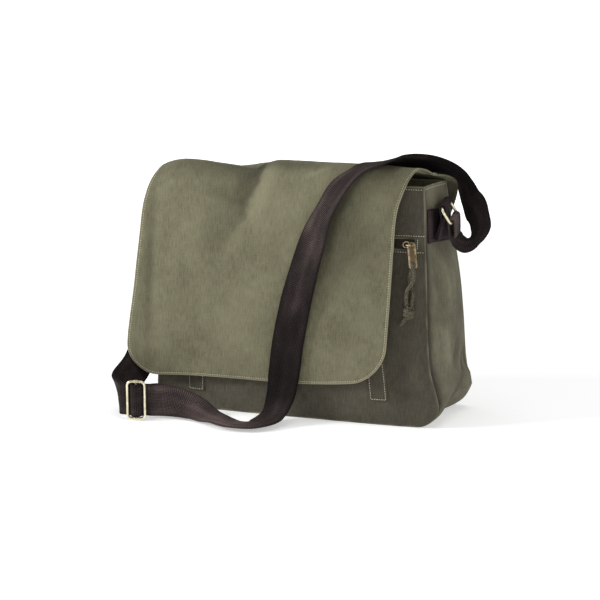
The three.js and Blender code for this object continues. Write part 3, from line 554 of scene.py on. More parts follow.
# Front and back panels: y = front - swell * (1 - e^4), the back panel the other way, e from -1 left to 1 right
zipWork = {"z": 219.5, "left": -125.0, "right": 147.0, "window": 11.5, "stitch": 9.6}
# inside lightens the panels' inner side: painted light
panelWork = {"step": 4.0, "half": 180, "hemStitch": 4.2, "seamStitch": 5.0, "inside": 1.5,
             # painted light: the front panel lighter towards its lower left
             "paintedLighting": {"most": 0.22, "x": 75, "overX": 130, "z": 110, "overZ": 60},
             # painted shadow of the flap on the front panel, right of the flap's edge
             "paintedShading": {"most": 0.16, "x": 140, "halfX": 22, "z": 95, "halfZ": 34},
             "creasesFront": [(150, 200, 160, 120, 9, 1.6), (140, 120, 170, 40, 12, 1.8),
                              (120, 80, 150, 10, 14, -2.0), (60, 60, 110, 20, 14, 1.2),
                              (-150, 190, -165, 60, 14, 1.5)],
             "creasesBack": [(-120, 230, -60, 90, 20, 1.8), (40, 200, 120, 60, 24, -2.0), (-20, 90, 90, 30, 18, 1.6),
                             (-160, 150, -130, 40, 14, -1.6), (130, 240, 160, 140, 14, 1.5)]}
outwards = {"Front": -1, "Back": 1}


def panelSpan(face, z):
    return span(bodyAt("left" + face, z), bodyAt("right" + face, z))


def panelPoint(face, e, z):
    middle, half = panelSpan(face, z)
    y = bodyAt(face.lower(), z) + outwards[face] * bodyAt("swell" + face, z) * (1 - e ** 4)
    return np.stack([middle + e * half, y, z + 0 * e], -1)


def panelY(face, x, z):  # the panel's plain face at a place across and up
    middle, half = panelSpan(face, z)
    return panelPoint(face, (x - middle) / half, z)[..., 1]


def panelEdge(face, u, z):  # the same share u of the width, drawn in round the lower corners
    return panelPoint(face, u * (1 - cornerInset(cut["corner"], z) / panelSpan(face, z)[1]), z)


def panelDetail(face, x, z):  # swell of soft cloth, creases, hem fold, sewn grooves and rolled seams, outwards
    middle, half = panelSpan(face, z)
    d = edgeDistance(np.abs(x - middle), half, z, cut["bodyHeight"], cut["corner"])
    seed = 11 if face == "Front" else 21
    wave = 1.1 * softNoise(x / 62 + 7, z / 48 + 3, seed) + 0.5 * softNoise(x / 24, z / 21, seed + 1)
    wave = smooth((d - 3) / 22) * (wave + creases(x, z, panelWork["creases" + face]))
    wave = wave + 0.16 * softNoise(x / 7, z / 7, seed + 2) * smooth((d - 1) / 6)
    hem = -0.45 * bell((cut["bodyHeight"] - z - panelWork["hemStitch"]) / 1.3)
    seam = 0.5 * bell((d - 1.8) / 1.5) - 0.35 * bell((d - panelWork["seamStitch"]) / 1.3)
    if face == "Front":  # the folded edges and the sewn grooves of the zip's window
        off = np.abs(z - zipWork["z"])
        inZip = smooth((x - zipWork["left"] + 12) / 10) * smooth((zipWork["right"] + 16 - x) / 10)
        hem = hem + inZip * (0.35 * bell((off - 7.2) / 1.2) - 0.4 * bell((off - zipWork["stitch"]) / 1.1))
    return wave + hem + seam * smooth((cut["bodyHeight"] - z) / 4), d, wave


def skin(face, x, z):  # outer face of a panel at a place across and up, with its detail
    return np.stack([x + 0 * z, panelY(face, x, z) + outwards[face] * panelDetail(face, x, z)[0], z + 0 * x], -1)


def windowLines(rows, us):  # the panel's lines with closer ones along the edges of the zip's window
    high = zipWork["window"] / 2
    edges = zipWork["z"] + np.array([-1, 1])[:, None] * (high + np.array([0, 0.35, 0.9, 1.8, 3, 4.4]))
    rows = np.unique(np.r_[rows[np.abs(rows - zipWork["z"]) > high + 5], edges.ravel()])
    middle, half = panelSpan("Front", np.array(zipWork["z"]))
    beyond = np.array([0, 0.4, 1, 2])
    ends = (np.r_[zipWork["left"] - beyond[::-1], zipWork["right"] + beyond] - middle) / half
    return rows, np.unique(np.r_[us[np.min(np.abs(us[:, None] - ends), 1) > 1.2 / half], ends])


def makePanel(face, name, node, finish):
    out, keep = outwards[face], None
    rows = edgeLines(0, cut["bodyHeight"], panelWork["step"])
    us = edgeLines(-panelWork["half"], panelWork["half"], panelWork["step"]) / panelWork["half"]
    if face == "Front":
        rows, us = windowLines(rows, us)
    u, z = np.meshgrid(us, rows)
    base = panelEdge(face, u, z)
    x = base[..., 0]
    detail, d, wave = panelDetail(face, x, z)
    panelLighting = 1 + 0 * z
    if face == "Front":
        beyond = lambda x, z: np.maximum(np.maximum(zipWork["left"] - x, x - zipWork["right"]),
                                         np.abs(z - zipWork["z"]) - zipWork["window"] / 2)
        keep = beyond((x[:-1, :-1] + x[1:, 1:]) / 2, (z[:-1, :-1] + z[1:, 1:]) / 2) >= 0
        d = np.minimum(d, np.maximum(beyond(x, z), 0) + 0.02)
        # painted light towards the lower left, and the flap's painted shadow right of its edge
        f, s = panelWork["paintedLighting"], panelWork["paintedShading"]
        panelLighting = panelLighting + f["most"] * smooth((f["x"] - x) / f["overX"]) * smooth((f["z"] - z) / f["overZ"])
        panelLighting = panelLighting - s["most"] * bell((x - s["x"]) / s["halfX"]) * bell((z - s["z"]) / s["halfZ"])
    base = base + np.stack([0 * x, out * detail, 0 * x], -1)
    normals = gridNormals(base) * -out
    outer, inner = bothFaces(base - normals * cut["canvas"] / 2, normals, cut["canvas"] * rounding(d + 0.1, 1.1))
    if face == "Back":
        outer, inner, x, z, wave, d = (values[:, ::-1] for values in (outer, inner, x, z, wave, d))
    hem = bell(d / 3.0) * (0.82 + 0.36 * softNoise(x / 9, z / 16, 71))
    addCloth(name, outer, inner, finish, "canvas_body", [node], (x, z), wave / 2.5, hem, keep, shade=panelLighting,
             innerShade=panelWork["inside"])


makePanel("Front", "frontPanel", "front_panel", shadedFrontCanvas)
makePanel("Back", "backPanel", "back_panel", bodyCanvas)
print("panels made")

# Gusset: one strip, down the left side, under the base and up the right side, by place from front 0 to back 1
# inside lightens the gusset's inner side: painted light
gussetWork = {"step": 4.0, "depth": 105.0, "hemStitch": 3.8, "inside": 1.5, "lighterTop": 0.2,
              "seamShadow": [(0.42, 2.2, 2.4), (0.34, 4, 7)],  # painted shadow beside the front seam: how much darker, how far from the seam, half width
              # painted shade in creases (below zero) and painted highlights on crease ridges (above zero)
              "paintedShading": [(90, 92, 80, 44, 4, -0.5), (86, 66, 44, 6, 5, -0.4), (97, 84, 97, 40, 3.5, -0.45),
                         (52, 214, 50, 135, 9, 0.18), (24, 208, 27, 125, 8, -0.18), (34, 125, 40, 45, 10, 0.16),
                         (80, 190, 84, 90, 8, -0.14), (60, 120, 58, 60, 7, -0.12), (12, 150, 10, 60, 6, 0.12)],
              "creases": [(42, 205, 50, 120, 6, 1.6), (62, 205, 66, 140, 5, 1.4), (25, 130, 40, 60, 8, 1.8),
                          (30, 275, 42, 245, 6, 1.2), (70, 110, 50, 50, 8, -2.0), (15, 60, 35, 20, 7, 1.5)]}


def gussetPoint(u, z, side, across):  # a straight line between the panels' edges, pushed out by swell and folds
    front, back = panelEdge("Front", u, z), panelEdge("Back", u, z)
    gap = np.array([0, cut["canvas"] + 2 * cut["seat"], 0])
    out = bodyAt("swellSide", z) * np.sin(np.pi * across)
    for s, a, h, ha, hz, push in gussetFolds:
        out = out + (s == np.sign(side)) * push * bell((across - a) / ha) * bell((z - h) / hz)
    points = front + gap + (back - front - 2 * gap) * np.asarray(across)[..., None]
    return np.stack([points[..., 0] + side * out, points[..., 1], z + 0 * across], -1)


def gussetDetail(side, z, across):  # cloth waves and creases, with a valley beside each seam
    d = np.minimum(across, 1 - across) * gussetWork["depth"]
    inside = smooth((d - 2) / 14) * smooth((cut["bodyHeight"] - z) / 10)
    seed = np.where(np.sign(side) > 0, 0.0, 17.3)
    wave = 1.2 * softNoise(across * 2.4 + seed, z / 44, 31) + 0.6 * softNoise(across * 5 + seed, z / 19, 32)
    wave = wave + np.where(side > 0, creases(across * 100, z, gussetWork["creases"]), 0)
    valley = -0.7 * bell((d - 4) / 2.2) + 0.3 * bell((d - 1) / 1.4)
    hem = -0.4 * bell((cut["bodyHeight"] - z - gussetWork["hemStitch"]) / 1.3)
    return inside * wave + valley + hem + 0.16 * softNoise(across * 15 + seed, z / 7, 33), d, wave


def gussetSkin(side, z, across):  # outer face of one side with its detail, outwards along X
    points = gussetPoint(side + 0 * z, z, side + 0 * z, across)
    return points + np.stack([side * gussetDetail(side, z, across)[0], 0 * z, 0 * z], -1)


def makeGusset():
    rise = risingLines(cut["corner"], 16, cut["bodyHeight"], gussetWork["step"])
    base = np.linspace(-1, 1, 80)[1:-1]
    full = np.ones(len(rise))
    across, stations = np.meshgrid(edgeLines(0, gussetWork["depth"], 3.5) / gussetWork["depth"],
                                   np.arange(2 * len(rise) + len(base)))
    u = np.r_[-full, base, full][stations]
    z = np.r_[rise[::-1], 0 * base, rise][stations]
    side = np.sign(u) * np.r_[full, smooth((np.abs(base) - 0.6) / 0.4), full][stations]
    detail, d, wave = gussetDetail(side, z, across)
    detail = np.sign(u) * detail * np.where(z > 0, smooth(z / 25), 0)
    points = gussetPoint(u, z, side, across) + np.stack([detail, 0 * detail, 0 * detail], -1)
    normals = gridNormals(points)
    d = np.minimum(d, cut["bodyHeight"] - z)
    outer, inner = bothFaces(points - normals * cut["canvas"] / 2, normals, cut["canvas"] * rounding(d + 0.1, 1.0))
    outer[..., 2], inner[..., 2] = np.maximum(outer[..., 2], 0), np.maximum(inner[..., 2], 0.02)
    reach = reachOf(points[:, points.shape[1] // 2])[stations]
    hem = bell(d / 2.0) * (0.62 + 0.4 * softNoise(across * 9, z / 16, 72)) * smooth((across - 0.2) / 0.2)
    far = across * gussetWork["depth"]
    # painted shadow beside the front seam, the top made lighter, and painted shade and highlights along creases
    beside = sum(most * bell((far - place) / half) for most, place, half in gussetWork["seamShadow"])
    gussetShading = 1 - beside * smooth(z / 25) * smooth((cut["bodyHeight"] - z) / 90)
    # the outside lighter towards the top
    gussetShading = gussetShading * (1 + gussetWork["lighterTop"] * smooth((z - 250) / 25))
    gussetShading = gussetShading + np.where(u > 0, creases(across * 100, z, gussetWork["paintedShading"]), 0)
    addCloth("gussetStrip", outer, inner, bodyCanvas, "canvas_body", ["gusset"], (far, reach), wave / 2.5, hem,
             shade=gussetShading, innerShade=gussetWork["inside"])


makeGusset()
print("gusset made")

# Flap: one sheet from its lower edge in front, over the top, to the seam at the back
flapWork = {"stitch": 2.6, "seamRows": (5, 11), "step": 3.6, "half": 168, "length": 387.0,
            # the inner side lighter under the top (painted light) and darker at the hanging end (painted shade)
            "underside": ((316, 338), (4.6, 0.5)), "lessWorn": {"most": 0.8, "from": 235, "over": 30},
            # painted shade on the left wall of the valley below the crest dent, with a faint painted highlight right of
            # it
            "valley": {"along": (140, 172, 190, 205, 219, 232, 262, 290), "reach": 36, "border": 6,
                       "x": (-92, -80, -64, -58.5, -59, -50, -42, -36),
                       "depth": (0, 0.18, 0.4, 0.54, 0.62, 0.62, 0.54, 0)},
            # patches of painted shade (the left band, the crest, the right side) and painted light (beside the strap's
            # shadow)
            "shadeAndLightPatches": [(-187, 120, 7, 110, 0.4), (-120, 262, 70, 14, 0.3), (-60, 268, 60, 8, 0.28),
                     (85, 150, 45, 100, 0.19), (0, 267, 50, 9, 0.34), (-112, 235, 42, 20, 0.12),
                     (-150, 130, 28, 80, -0.08), (96, 222, 26, 42, -0.34), (-20, 160, 13, 26, 0.16),
                     (-104, 172, 16, 22, 0.12), (-46, 225, 9, 30, 0.1), (-168, 165, 9, 40, 0.1)],
            # the strap's painted shadow on the flap, right of the strap's edge
            "strapShadow": {"along": (105, 140, 171, 186, 206, 218, 234, 252, 268, 284), "half": 6.5,
                       "x": (38, 42, 46.5, 47.5, 52, 58, 65.8, 74.7, 87, 97),
                       "depth": (0, 0.2, 0.45, 0.52, 0.56, 0.56, 0.56, 0.56, 0.5, 0.2)},
            # a painted highlight along a crease
            "paintedLighting": [(4, 248, 46, 269, 3.2, 0.16)],
            "creases": [(-30, 290, -48, 175, 12, 2.6), (4, 248, 46, 269, 4, 0.9), (-30, 150, -70, 60, 22, 1.0),
                        (40, 130, 70, 30, 20, -1.2), (-120, 240, -130, 120, 16, 1.0), (-100, 60, -20, 24, 16, 1.0),
                        (90, 150, 105, 40, 12, 1.2)]}


def flapSpan(along):
    return span(flapAt("left", along), flapAt("right", along))


def flapPoint(e, along):  # sections carried along the cloth, ends drooping by |e|^bend, dents pushed along the normal
    middle, half = flapSpan(along)
    x, z = middle + e * half, flapAt("z", along)
    dy, dz = (flapAt(column, along + 0.5) - flapAt(column, along - 0.5) for column in ("y", "z"))
    length = np.hypot(dy, dz)
    push = flapDetail(x, along)[0]
    for dx, da, toLeft, toRight, halfLength, lean, depth in flapDents:
        beside = x - dx - lean * (along - da)
        push = push - depth * bell((along - da) / halfLength) * bell(beside / np.where(beside < 0, toLeft, toRight))
    end = np.where(e < 0, flapAt("zLeft", along), flapAt("zRight", along))
    z = z + (end - z) * np.abs(e) ** np.where(e < 0, flapAt("leftBend", along), 3)
    return np.stack([x, flapAt("y", along) - push * dz / length, z + push * dy / length], -1)


def flapDetail(x, along):  # soft waves, creases, the rolled hem and its sewn groove, outwards
    middle, half = flapSpan(along)
    d = edgeDistance(np.abs(x - middle), half, along, flapWork["length"], cut["flapCorner"])
    wave = 1.2 * softNoise(x / 66 + 5, along / 70 + 2, 41) + 0.5 * softNoise(x / 27, along / 30, 42)
    wave = smooth((d - 2) / 24) * (wave + creases(x, along, flapWork["creases"]))
    fine = 0.14 * softNoise(x / 6.5, along / 6.5, 43) + 0.5 * bell((d - 3) / 5) * softNoise(x / 13, along / 13, 44)
    hem = 0.3 * bell((d - 1.6) / 1.2) - 0.5 * bell((d - flapWork["stitch"]) / 1.0) + 0.2 * bell((d - 6) / 1.4)
    return wave + fine + hem, d, wave


def flapPaintedLighting(x, along):  # painted shade on the valley's wall: 1 - depth * step(t / border) * bell(t / reach); patches of painted shade and light: 1 - amount * bell * bell; the strap's painted shadow; a painted highlight on a crease
    v, r = flapWork["valley"], flapWork["strapShadow"]
    left = np.interp(along, v["along"], v["x"]) - x + 3 * softNoise(x / 11, along / 9, 45)
    patchy = 0.85 + 0.3 * softNoise(x / 14, along / 17, 46)
    wall = patchy * smooth(left / v["border"]) * bell(left / v["reach"]) - 0.03 * bell((left + 10) / 9)
    shade = 1 - np.interp(along, v["along"], v["depth"]) * wall
    for dx, da, halfX, halfAlong, shadeAndLightPatches in flapWork["shadeAndLightPatches"]:
        shade = shade * (1 - shadeAndLightPatches * bell((x - dx) / halfX) * bell((along - da) / halfAlong))
    # the strap's painted shadow on the flap
    beside = (x - np.interp(along, r["along"], r["x"])) / r["half"]
    shade = shade * (1 - np.interp(along, r["along"], r["depth"]) * bell(np.where(beside < 0, beside / 4, beside)))
    # plus a painted highlight along a crease
    return shade + creases(x, along, flapWork["paintedLighting"])


def makeFlap():
    near = (0, 0.35, 0.9, 1.8, 2.7, 3.6, 4.5, 6.2)
    rows = risingLines(cut["flapCorner"], 24, flapWork["length"], flapWork["step"])
    rows = np.unique(np.r_[rows, 0.35, 0.9, 1.8, 3, 3.6, 4.5, 6.2])
    us = edgeLines(-flapWork["half"], flapWork["half"], flapWork["step"], near) / flapWork["half"]
    u, along = np.meshgrid(us, rows)
    e = u * (1 - cornerInset(cut["flapCorner"], along) / flapSpan(along)[1])
    points = flapPoint(e, along)
    x = points[..., 0]
    d, wave = flapDetail(x, along)[1:]
    normals = normalsOf(flapPoint, e, along, 2e-3, 0.3)
    outer, inner = bothFaces(points, normals, cut["flapCloth"] * rounding(d + 0.1, 1.3))
    less = flapWork["lessWorn"]
    hem = bell(d / 1.9) * (1 - less["most"] * smooth((along - less["from"]) / less["over"]))  # the top and back edges
    # the inner side: painted light under the top, painted shade towards the back, eased to 0.9 near the edge
    under = np.interp(along, *flapWork["underside"])
    under = np.where(under > 1, 0.9 + (under - 0.9) * smooth((d - 5) / 14), under)
    flap = addCloth("flapSheet", outer, inner, flapCanvas, "canvas_flap", ["flap"], (x, along), wave / 2.2, hem,
                    shade=flapPaintedLighting(x, along), innerShade=under)


def flapOutline(inset):  # the flap's edge drawn in by an inset: down the left side, round the foot, up the right side
    corner = cut["flapCorner"]
    turn = np.linspace(0, np.pi / 2, 30)
    sides = np.linspace(flapWork["length"], corner, 160)
    low = np.linspace(0, 1, 100)
    falling, rising = corner - (corner - inset) * np.sin(turn), corner - (corner - inset) * np.cos(turn)
    along = np.r_[sides, falling, 0 * low + inset, rising, sides[::-1]]
    middle, half = flapSpan(along)
    footMiddle, footHalf = flapSpan(np.array(inset))
    fromEdge = np.r_[0 * sides + inset, rising]
    count = len(fromEdge)
    x = np.r_[(middle - half)[:count] + fromEdge, footMiddle + (2 * low - 1) * (footHalf - corner),
              (middle + half)[-count:] - fromEdge[::-1]]
    return (x - middle) / half, along


makeFlap()
print("flap made")

# Closure tapes, low on the front panel, and the zip's tape behind its window
tapeWork = {"width": 22.0, "height": 72.0, "thick": 1.0, "stitch": 2.0,
            "places": {"closureTapeLeft": ("closure_tape_left", -126, 23, 0),
                       "closureTapeRight": ("closure_tape_right", 111, 30, 0.13)}}
zipTapeWork = {"height": 25.0, "overlap": 6.0, "thick": 0.8, "step": 5}


def tapeSkin(x, bottom, lean, u, v):  # a place on a closure tape, u from 0 to 1 across and v from 0 to 1 up
    rise = v * tapeWork["height"]
    return skin("Front", x + (u - 0.5) * tapeWork["width"] - lean * rise, bottom + rise)


def makeTapes():
    wide, tall, near = tapeWork["width"], tapeWork["height"], (0, 0.3, 0.8, 1.6)
    u, v = np.meshgrid(edgeLines(0, wide, 2.0, near) / wide, edgeLines(0, tall, 3, near) / tall)
    d = stripDistance(u, wide, v, tall)
    high = cut["seat"] + tapeWork["thick"] * rounding(d + 0.15, 0.8)
    for name, (node, x, bottom, lean) in tapeWork["places"].items():
        points = tapeSkin(x, bottom, lean, u, v)
        normals = gridNormals(points)
        outer, inner = points + normals * high[..., None], points + normals * (cut["seat"] * 0.5)
        addCloth(name, outer, inner, shadedFrontCanvas, "canvas_body", [node], ((u - 0.5) * wide + x, v * tall), 0 * u - 0.1,
                 bell(d / 1.2) * 0.6)


def makeZipTape():
    t = zipTapeWork
    x, z = np.meshgrid(edgeLines(zipWork["left"] - t["overlap"], zipWork["right"] + t["overlap"], t["step"]),
                       zipWork["z"] + np.linspace(-t["height"] / 2, t["height"] / 2, 15))
    points = np.stack([x, panelY("Front", x, z) + cut["canvas"] + cut["seat"], z], -1)
    addCloth("zipTape", points, points + np.array([0, t["thick"], 0]), zipWeave, "canvas_body", ["zip_tape"], (z, x),
             0 * x, 0 * x)


makeTapes()
makeZipTape()

# Zip teeth, slider with its bail, and pull tab
teethWork = {"pitch": 1.5, "wide": 1.15, "tall": 2.6, "deep": 1.3, "shift": 1.0}
sliderWork = {"x": 141.0, "thick": 2.8, "bailWidth": 8.6, "bailReach": 6.6, "bailWire": 1.7, "wire": 0.95,
              "plate": (6.4, 6.4), "plateCorner": 2.4, "plateBevel": 0.8, "plateX": 2.8,
              "eye": (4.0, 3.5), "eyeX": -3.0, "eyeWire": 0.75}
pullWork = {"length": 31.0, "width": 9.0, "thick": 1.8, "lean": 0.14, "tilt": -0.29, "hole": 2.6, "cordHole": 2.7,
            "cordRise": 5, "corner": 2.5, "bevel": 0.45}


def makeTeeth():  # rows of small bevelled blocks that meet in turn along the middle
    x = np.arange(zipWork["left"] + 4, sliderWork["x"] + 2, teethWork["pitch"])
    z = zipWork["z"] + np.where(np.arange(len(x)) % 2, 1, -1) * teethWork["shift"] / 2
    corners = np.array([[-1, 0, -1], [1, 0, -1], [1, 0, 1], [-1, 0, 1]]) / 2
    size = np.array([teethWork["wide"], teethWork["deep"], teethWork["tall"]])
    ring = np.array([(corners * scale + np.array([0, deep, 0])) * size
                     for deep, scale in ((0.0, 1.0), (-0.75, 1.0), (-1.0, 0.7))])
    place = np.stack([x, panelY("Front", x, z) + cut["canvas"] - 0.05, z], -1)
    points = place[:, None, None] + ring[None]
    addPiece("zipTeeth", points.reshape(-1, 3), tubeFaces(points.shape[:3]), darkBrass, "old_brass", ["zip_chain"])


def roundedOutline(width, height, corner, steps=8):  # a rounded rectangle, turning left from its right side
    turn = np.linspace(0, np.pi / 2, steps)
    parts = []
    for k, (sx, sy) in enumerate([(1, 1), (-1, 1), (-1, -1), (1, -1)]):
        parts.append(np.stack([sx * (width / 2 - corner) + corner * np.cos(turn + k * np.pi / 2),
                               sy * (height / 2 - corner) + corner * np.sin(turn + k * np.pi / 2)], -1))
    return np.concatenate(parts)


def plate(outline, thick, bevel):  # a flat plate whose outline is drawn in at both faces by a rounded bevel
    step = np.roll(outline, -1, 0) - np.roll(outline, 1, 0)
    outward = unit(np.stack([step[:, 1], -step[:, 0]], -1))
    turn = np.linspace(0, np.pi / 2, 4)
    fall, inset = bevel * (1 - np.sin(turn)), bevel * (1 - np.cos(turn))
    levels = zip(np.r_[inset[::-1], inset], np.r_[-thick / 2 + fall[::-1], thick / 2 - fall])
    points = np.array([np.c_[outline - outward * i, np.full(len(outline), h)] for i, h in levels])
    return points.reshape(-1, 3), tubeFaces(points.shape[:2])


def turnX(a): return np.array([[1, 0, 0], [0, np.cos(a), -np.sin(a)], [0, np.sin(a), np.cos(a)]])
def turnY(a): return np.array([[np.cos(a), 0, np.sin(a)], [0, 1, 0], [-np.sin(a), 0, np.cos(a)]])
def turnZ(a): return np.array([[np.cos(a), -np.sin(a), 0], [np.sin(a), np.cos(a), 0], [0, 0, 1]])


zipBefore, zipHere, zipAfter = panelY("Front", sliderWork["x"] + np.array([-0.5, 0, 0.5]), np.full(3, zipWork["z"]))
zipOrigin = np.array([sliderWork["x"], zipHere, zipWork["z"]])
zipTurn = turnZ(np.arctan(zipAfter - zipBefore))


def makeZipSlider():
    s = sliderWork
    body, bodyFaces = plate(roundedOutline(*s["plate"], s["plateCorner"]), s["thick"], s["plateBevel"])
    body = body @ turnX(np.pi / 2).T + np.array([s["plateX"], -cut["seat"] - s["thick"] / 2, 0])
    t = np.linspace(0, np.pi, 40)
    half, face = (s["bailWidth"] - s["bailWire"]) / 2, -cut["seat"] - s["thick"]
    bail = np.stack([-half * np.cos(t), face + 0.6 - (s["bailReach"] - s["wire"] + 0.3) * np.sin(t) ** 0.7, 0 * t], -1)
    turn = np.arange(40) * np.pi / 20
    eye = np.stack([s["eyeX"] + s["eye"][0] * np.cos(turn), 0 * turn + face, -s["eye"][1] * np.sin(turn)], -1)
    points, faces = joined((body, bodyFaces), sweep(bail, circle(s["wire"], 12), (0, 0, 1)),
                           sweep(eye, circle(s["eyeWire"], 12), (0, 1, 0), closed=True))
    addPiece("zipSlider", points @ zipTurn.T + zipOrigin, faces, oldBrass, "old_brass", ["zip_slider"])


def arc(cx, cy, radius, start, end, count):  # part of a circle, in half turns
    turn = np.linspace(start, end, count) * np.pi
    return np.stack([cx + radius * np.cos(turn), cy + radius * np.sin(turn)], -1)


def flatMesh(rings, thick, bevel):  # a flat curve with its holes, filled, made a mesh with its doubles merged
    curve = bpy.data.curves.new("pullShape", "CURVE")
    curve.dimensions, curve.fill_mode = "2D", "BOTH"
    curve.extrude, curve.bevel_depth, curve.bevel_resolution = thick / 2 - bevel, bevel, 2
    for ring in rings:
        spline = curve.splines.new("POLY")
        spline.points.add(len(ring) - 1)
        spline.points.foreach_set("co", np.c_[ring, np.zeros(len(ring)), np.ones(len(ring))].ravel())
        spline.use_cyclic_u = True
    flat = bpy.data.objects.new("pullShape", curve)
    bpy.context.collection.objects.link(flat)
    bpy.context.view_layer.update()
    shape = bpy.data.meshes.new_from_object(flat.evaluated_get(bpy.context.evaluated_depsgraph_get()))
    points = np.empty(len(shape.vertices) * 3)
    shape.vertices.foreach_get("co", points)
    merged, back = np.unique(np.round(points.reshape(-1, 3), 4), axis=0, return_inverse=True)
    faces = [back.ravel()[list(face.vertices)].tolist() for face in shape.polygons]
    bpy.data.objects.remove(flat)
    return merged, [face for face in faces if len(set(face)) == len(face)]


def makePull():  # a tab with an eye for the bail and a hole for the cord
    p, s = pullWork, sliderWork
    half, corner = p["width"] / 2, p["corner"]
    foot = half - p["length"]
    outline = np.concatenate([arc(0, 0, half, 0, 1, 24), arc(corner - half, foot + corner, corner, 1, 1.5, 8),
                              arc(half - corner, foot + corner, corner, 1.5, 2, 8)])
    holes = [arc(0, 0, p["hole"], 0, 2, 25)[:-1], arc(0, foot + p["cordRise"], p["cordHole"], 0, 2, 21)[:-1]]
    points, faces = flatMesh([outline] + holes, p["thick"], p["bevel"])
    stand = cut["seat"] + s["thick"] + (s["bailReach"] - s["bailWire"] + 0.9) / 2
    spot = np.array([(s["bailWidth"] - s["bailWire"]) / 2, -stand, s["bailWire"] - p["hole"]])
    turned = turnX(p["tilt"]) @ turnY(-p["lean"])
    points = (points @ turnX(np.pi / 2).T @ turned.T + spot) @ zipTurn.T + zipOrigin
    axis = ((zipTurn @ spot + zipOrigin) * mm, zipTurn @ turned[:, 0], 0.45 * half * mm, 0.8 * half * mm)
    pullBrass = brassFinish("pullBrass", (136, 116, 88), (240, 222, 184), 0.28, axis)
    addPiece("zipPull", points, faces, pullBrass, "old_brass", ["zip_pull"])


makeTeeth()
makeZipSlider()
makePull()
print("zip made")

# Side bands, the loops of webbing that hold the rings, and the rings
bandWork = {"bottom": 217.0, "tilt": 6.0, "thick": 2.0, "endGap": 0.05, "stand": 0.5, "stitch": 3.2,
            "length": 76.0, "drawn": 80.0}  # the length for distances, and the one its lines are spaced for
ringWork = {"inner": 46.0, "depth": 20.5, "wire": 1.75, "corner": 5.5, "z": 263.0}
ringLie = {"Left": {"side": -1, "place": 0.58, "hang": 0.72, "turn": 0.0, "roll": 0.0, "stand": 0.0},
           "Right": {"side": 1, "place": 0.46, "hang": 0.55, "turn": 0.26, "roll": 0.12, "stand": 4.5}}
tabWork = {"foot": 222.0, "swell": 0.2}
foldRadius = ringWork["wire"] + 2.7 * cut["seat"] + cut["webThick"] / 2
legInner = bandWork["stand"] + bandWork["thick"] + cut["seat"] + cut["webThick"] / 2 + tabWork["swell"]
legOuter = legInner + cut["webThick"] + cut["seat"]


def sideFrame(lie, z, lean):  # a point on the gusset's chord, the ways out, across and square, by a share of the lie
    side = float(lie["side"])
    front, back = (gussetPoint(np.array(side), np.array(float(z)), np.array(side), np.array(w)) for w in (0.0, 1.0))
    across = unit((back - front) * np.array([1, 1, 0]))
    outward = side * np.array([across[1], -across[0], 0])
    across = turnZ(lie["turn"] * lean) @ across
    square = side * np.array([across[1], -across[0], 0])
    across = unit(np.array([across[0], across[1], np.sin(lie["roll"] * lean)]))
    return front + (back - front) * lie["place"], outward, across, square


def ringBars(lie):  # middles of the upper and lower bars, the way down between them, the ways across and square
    at, outward, across, square = sideFrame(lie, ringWork["z"], 1)
    upper = at + outward * (legInner + foldRadius - 1 + lie["stand"])
    down = outward * np.sin(lie["hang"]) - np.array([0, 0, np.cos(lie["hang"])])
    down = unit(down - across * np.dot(down, across))
    return {"upper": upper, "lower": upper + down * ringWork["depth"], "down": down, "across": across, "square": square}


def besideBar(bars, bar, off, rise):  # one row of a webbing route: its middle off a bar and up, then the way across
    return np.r_[bars[bar] + bars["square"] * off + np.array([0, 0, rise]), bars["across"]]


def foldRows(bars, bar):  # webbing folded over a bar, from its outer side to its inner side
    return [besideBar(bars, bar, foldRadius * np.cos(a), foldRadius * np.sin(a)) for a in np.linspace(0, np.pi, 5)]


def webPath(rows, t):  # middle, way across and normal of webbing carried along rows of places
    places, ways = np.array(rows)[:, :3], np.array(rows)[:, 3:]
    tangent = unit(splineAt(places, t + 1e-4) - splineAt(places, t - 1e-4))
    across = splineAt(places, t, unit(ways))
    across = unit(across - tangent * np.sum(across * tangent, -1, keepdims=True))
    return splineAt(places, t), across, np.cross(across, tangent)


def webProfile(width, thick, count=15):  # a flat strip with rounded selvedges, turning left
    r = thick / 2
    inner = width / 2 - r
    turn = np.linspace(-np.pi / 2, np.pi / 2, 6)
    flat = np.linspace(-1, 1, count)[1:-1] * inner
    right = np.stack([inner + r * np.cos(turn), r * np.sin(turn)], -1)
    top = np.stack([flat[::-1], 0 * flat + r], -1)
    return np.concatenate([right, top, -right, -top])


def webbingPiece(name, rows, perSpan, finish, replaced, shade=(1.0,), wave=0.0, seed=51):
    # profile points stand at middle + a * across + b * normal; shade is each row's painted light and shade, scaling its
    # colour
    t = np.linspace(0, 1, (len(rows) - 1) * perSpan + 1)
    middle, across, normal = webPath(rows, t)
    reach = reachOf(middle)
    a, b = webProfile(cut["webWidth"], cut["webThick"]).T[:, None]
    s = reach[:, None]
    lift = wave * softNoise(s / 33, a / 16 + 9, seed) + 0.07 * np.cos(a * 2 * np.pi / 3.4)
    rounded = rounding(np.minimum(reach, reach[-1] - reach) + 0.1, 0.9)
    high = b * rounded[:, None] + lift
    points = middle[:, None] + across[:, None] * a[..., None] + normal[:, None] * high[..., None]
    faces = [face[::-1] for face in tubeFaces(points.shape[:2])]
    uv = np.stack(np.broadcast_arrays(a + np.where(b < 0, 60, 0), s), -1).reshape(-1, 2)
    edge = bell((cut["webWidth"] / 2 - np.abs(a)) / 1.2)
    # each row's painted light and shade
    paintedLighting = np.interp(t, np.linspace(0, 1, len(shade)), shade)[:, None] + 0 * a
    marks = {"rise": (lift / 1.2 - 0.5 * edge).ravel(), "shade": paintedLighting.ravel()}
    addPiece(name, points.reshape(-1, 3), faces, finish, "webbing", replaced, uv, marks)


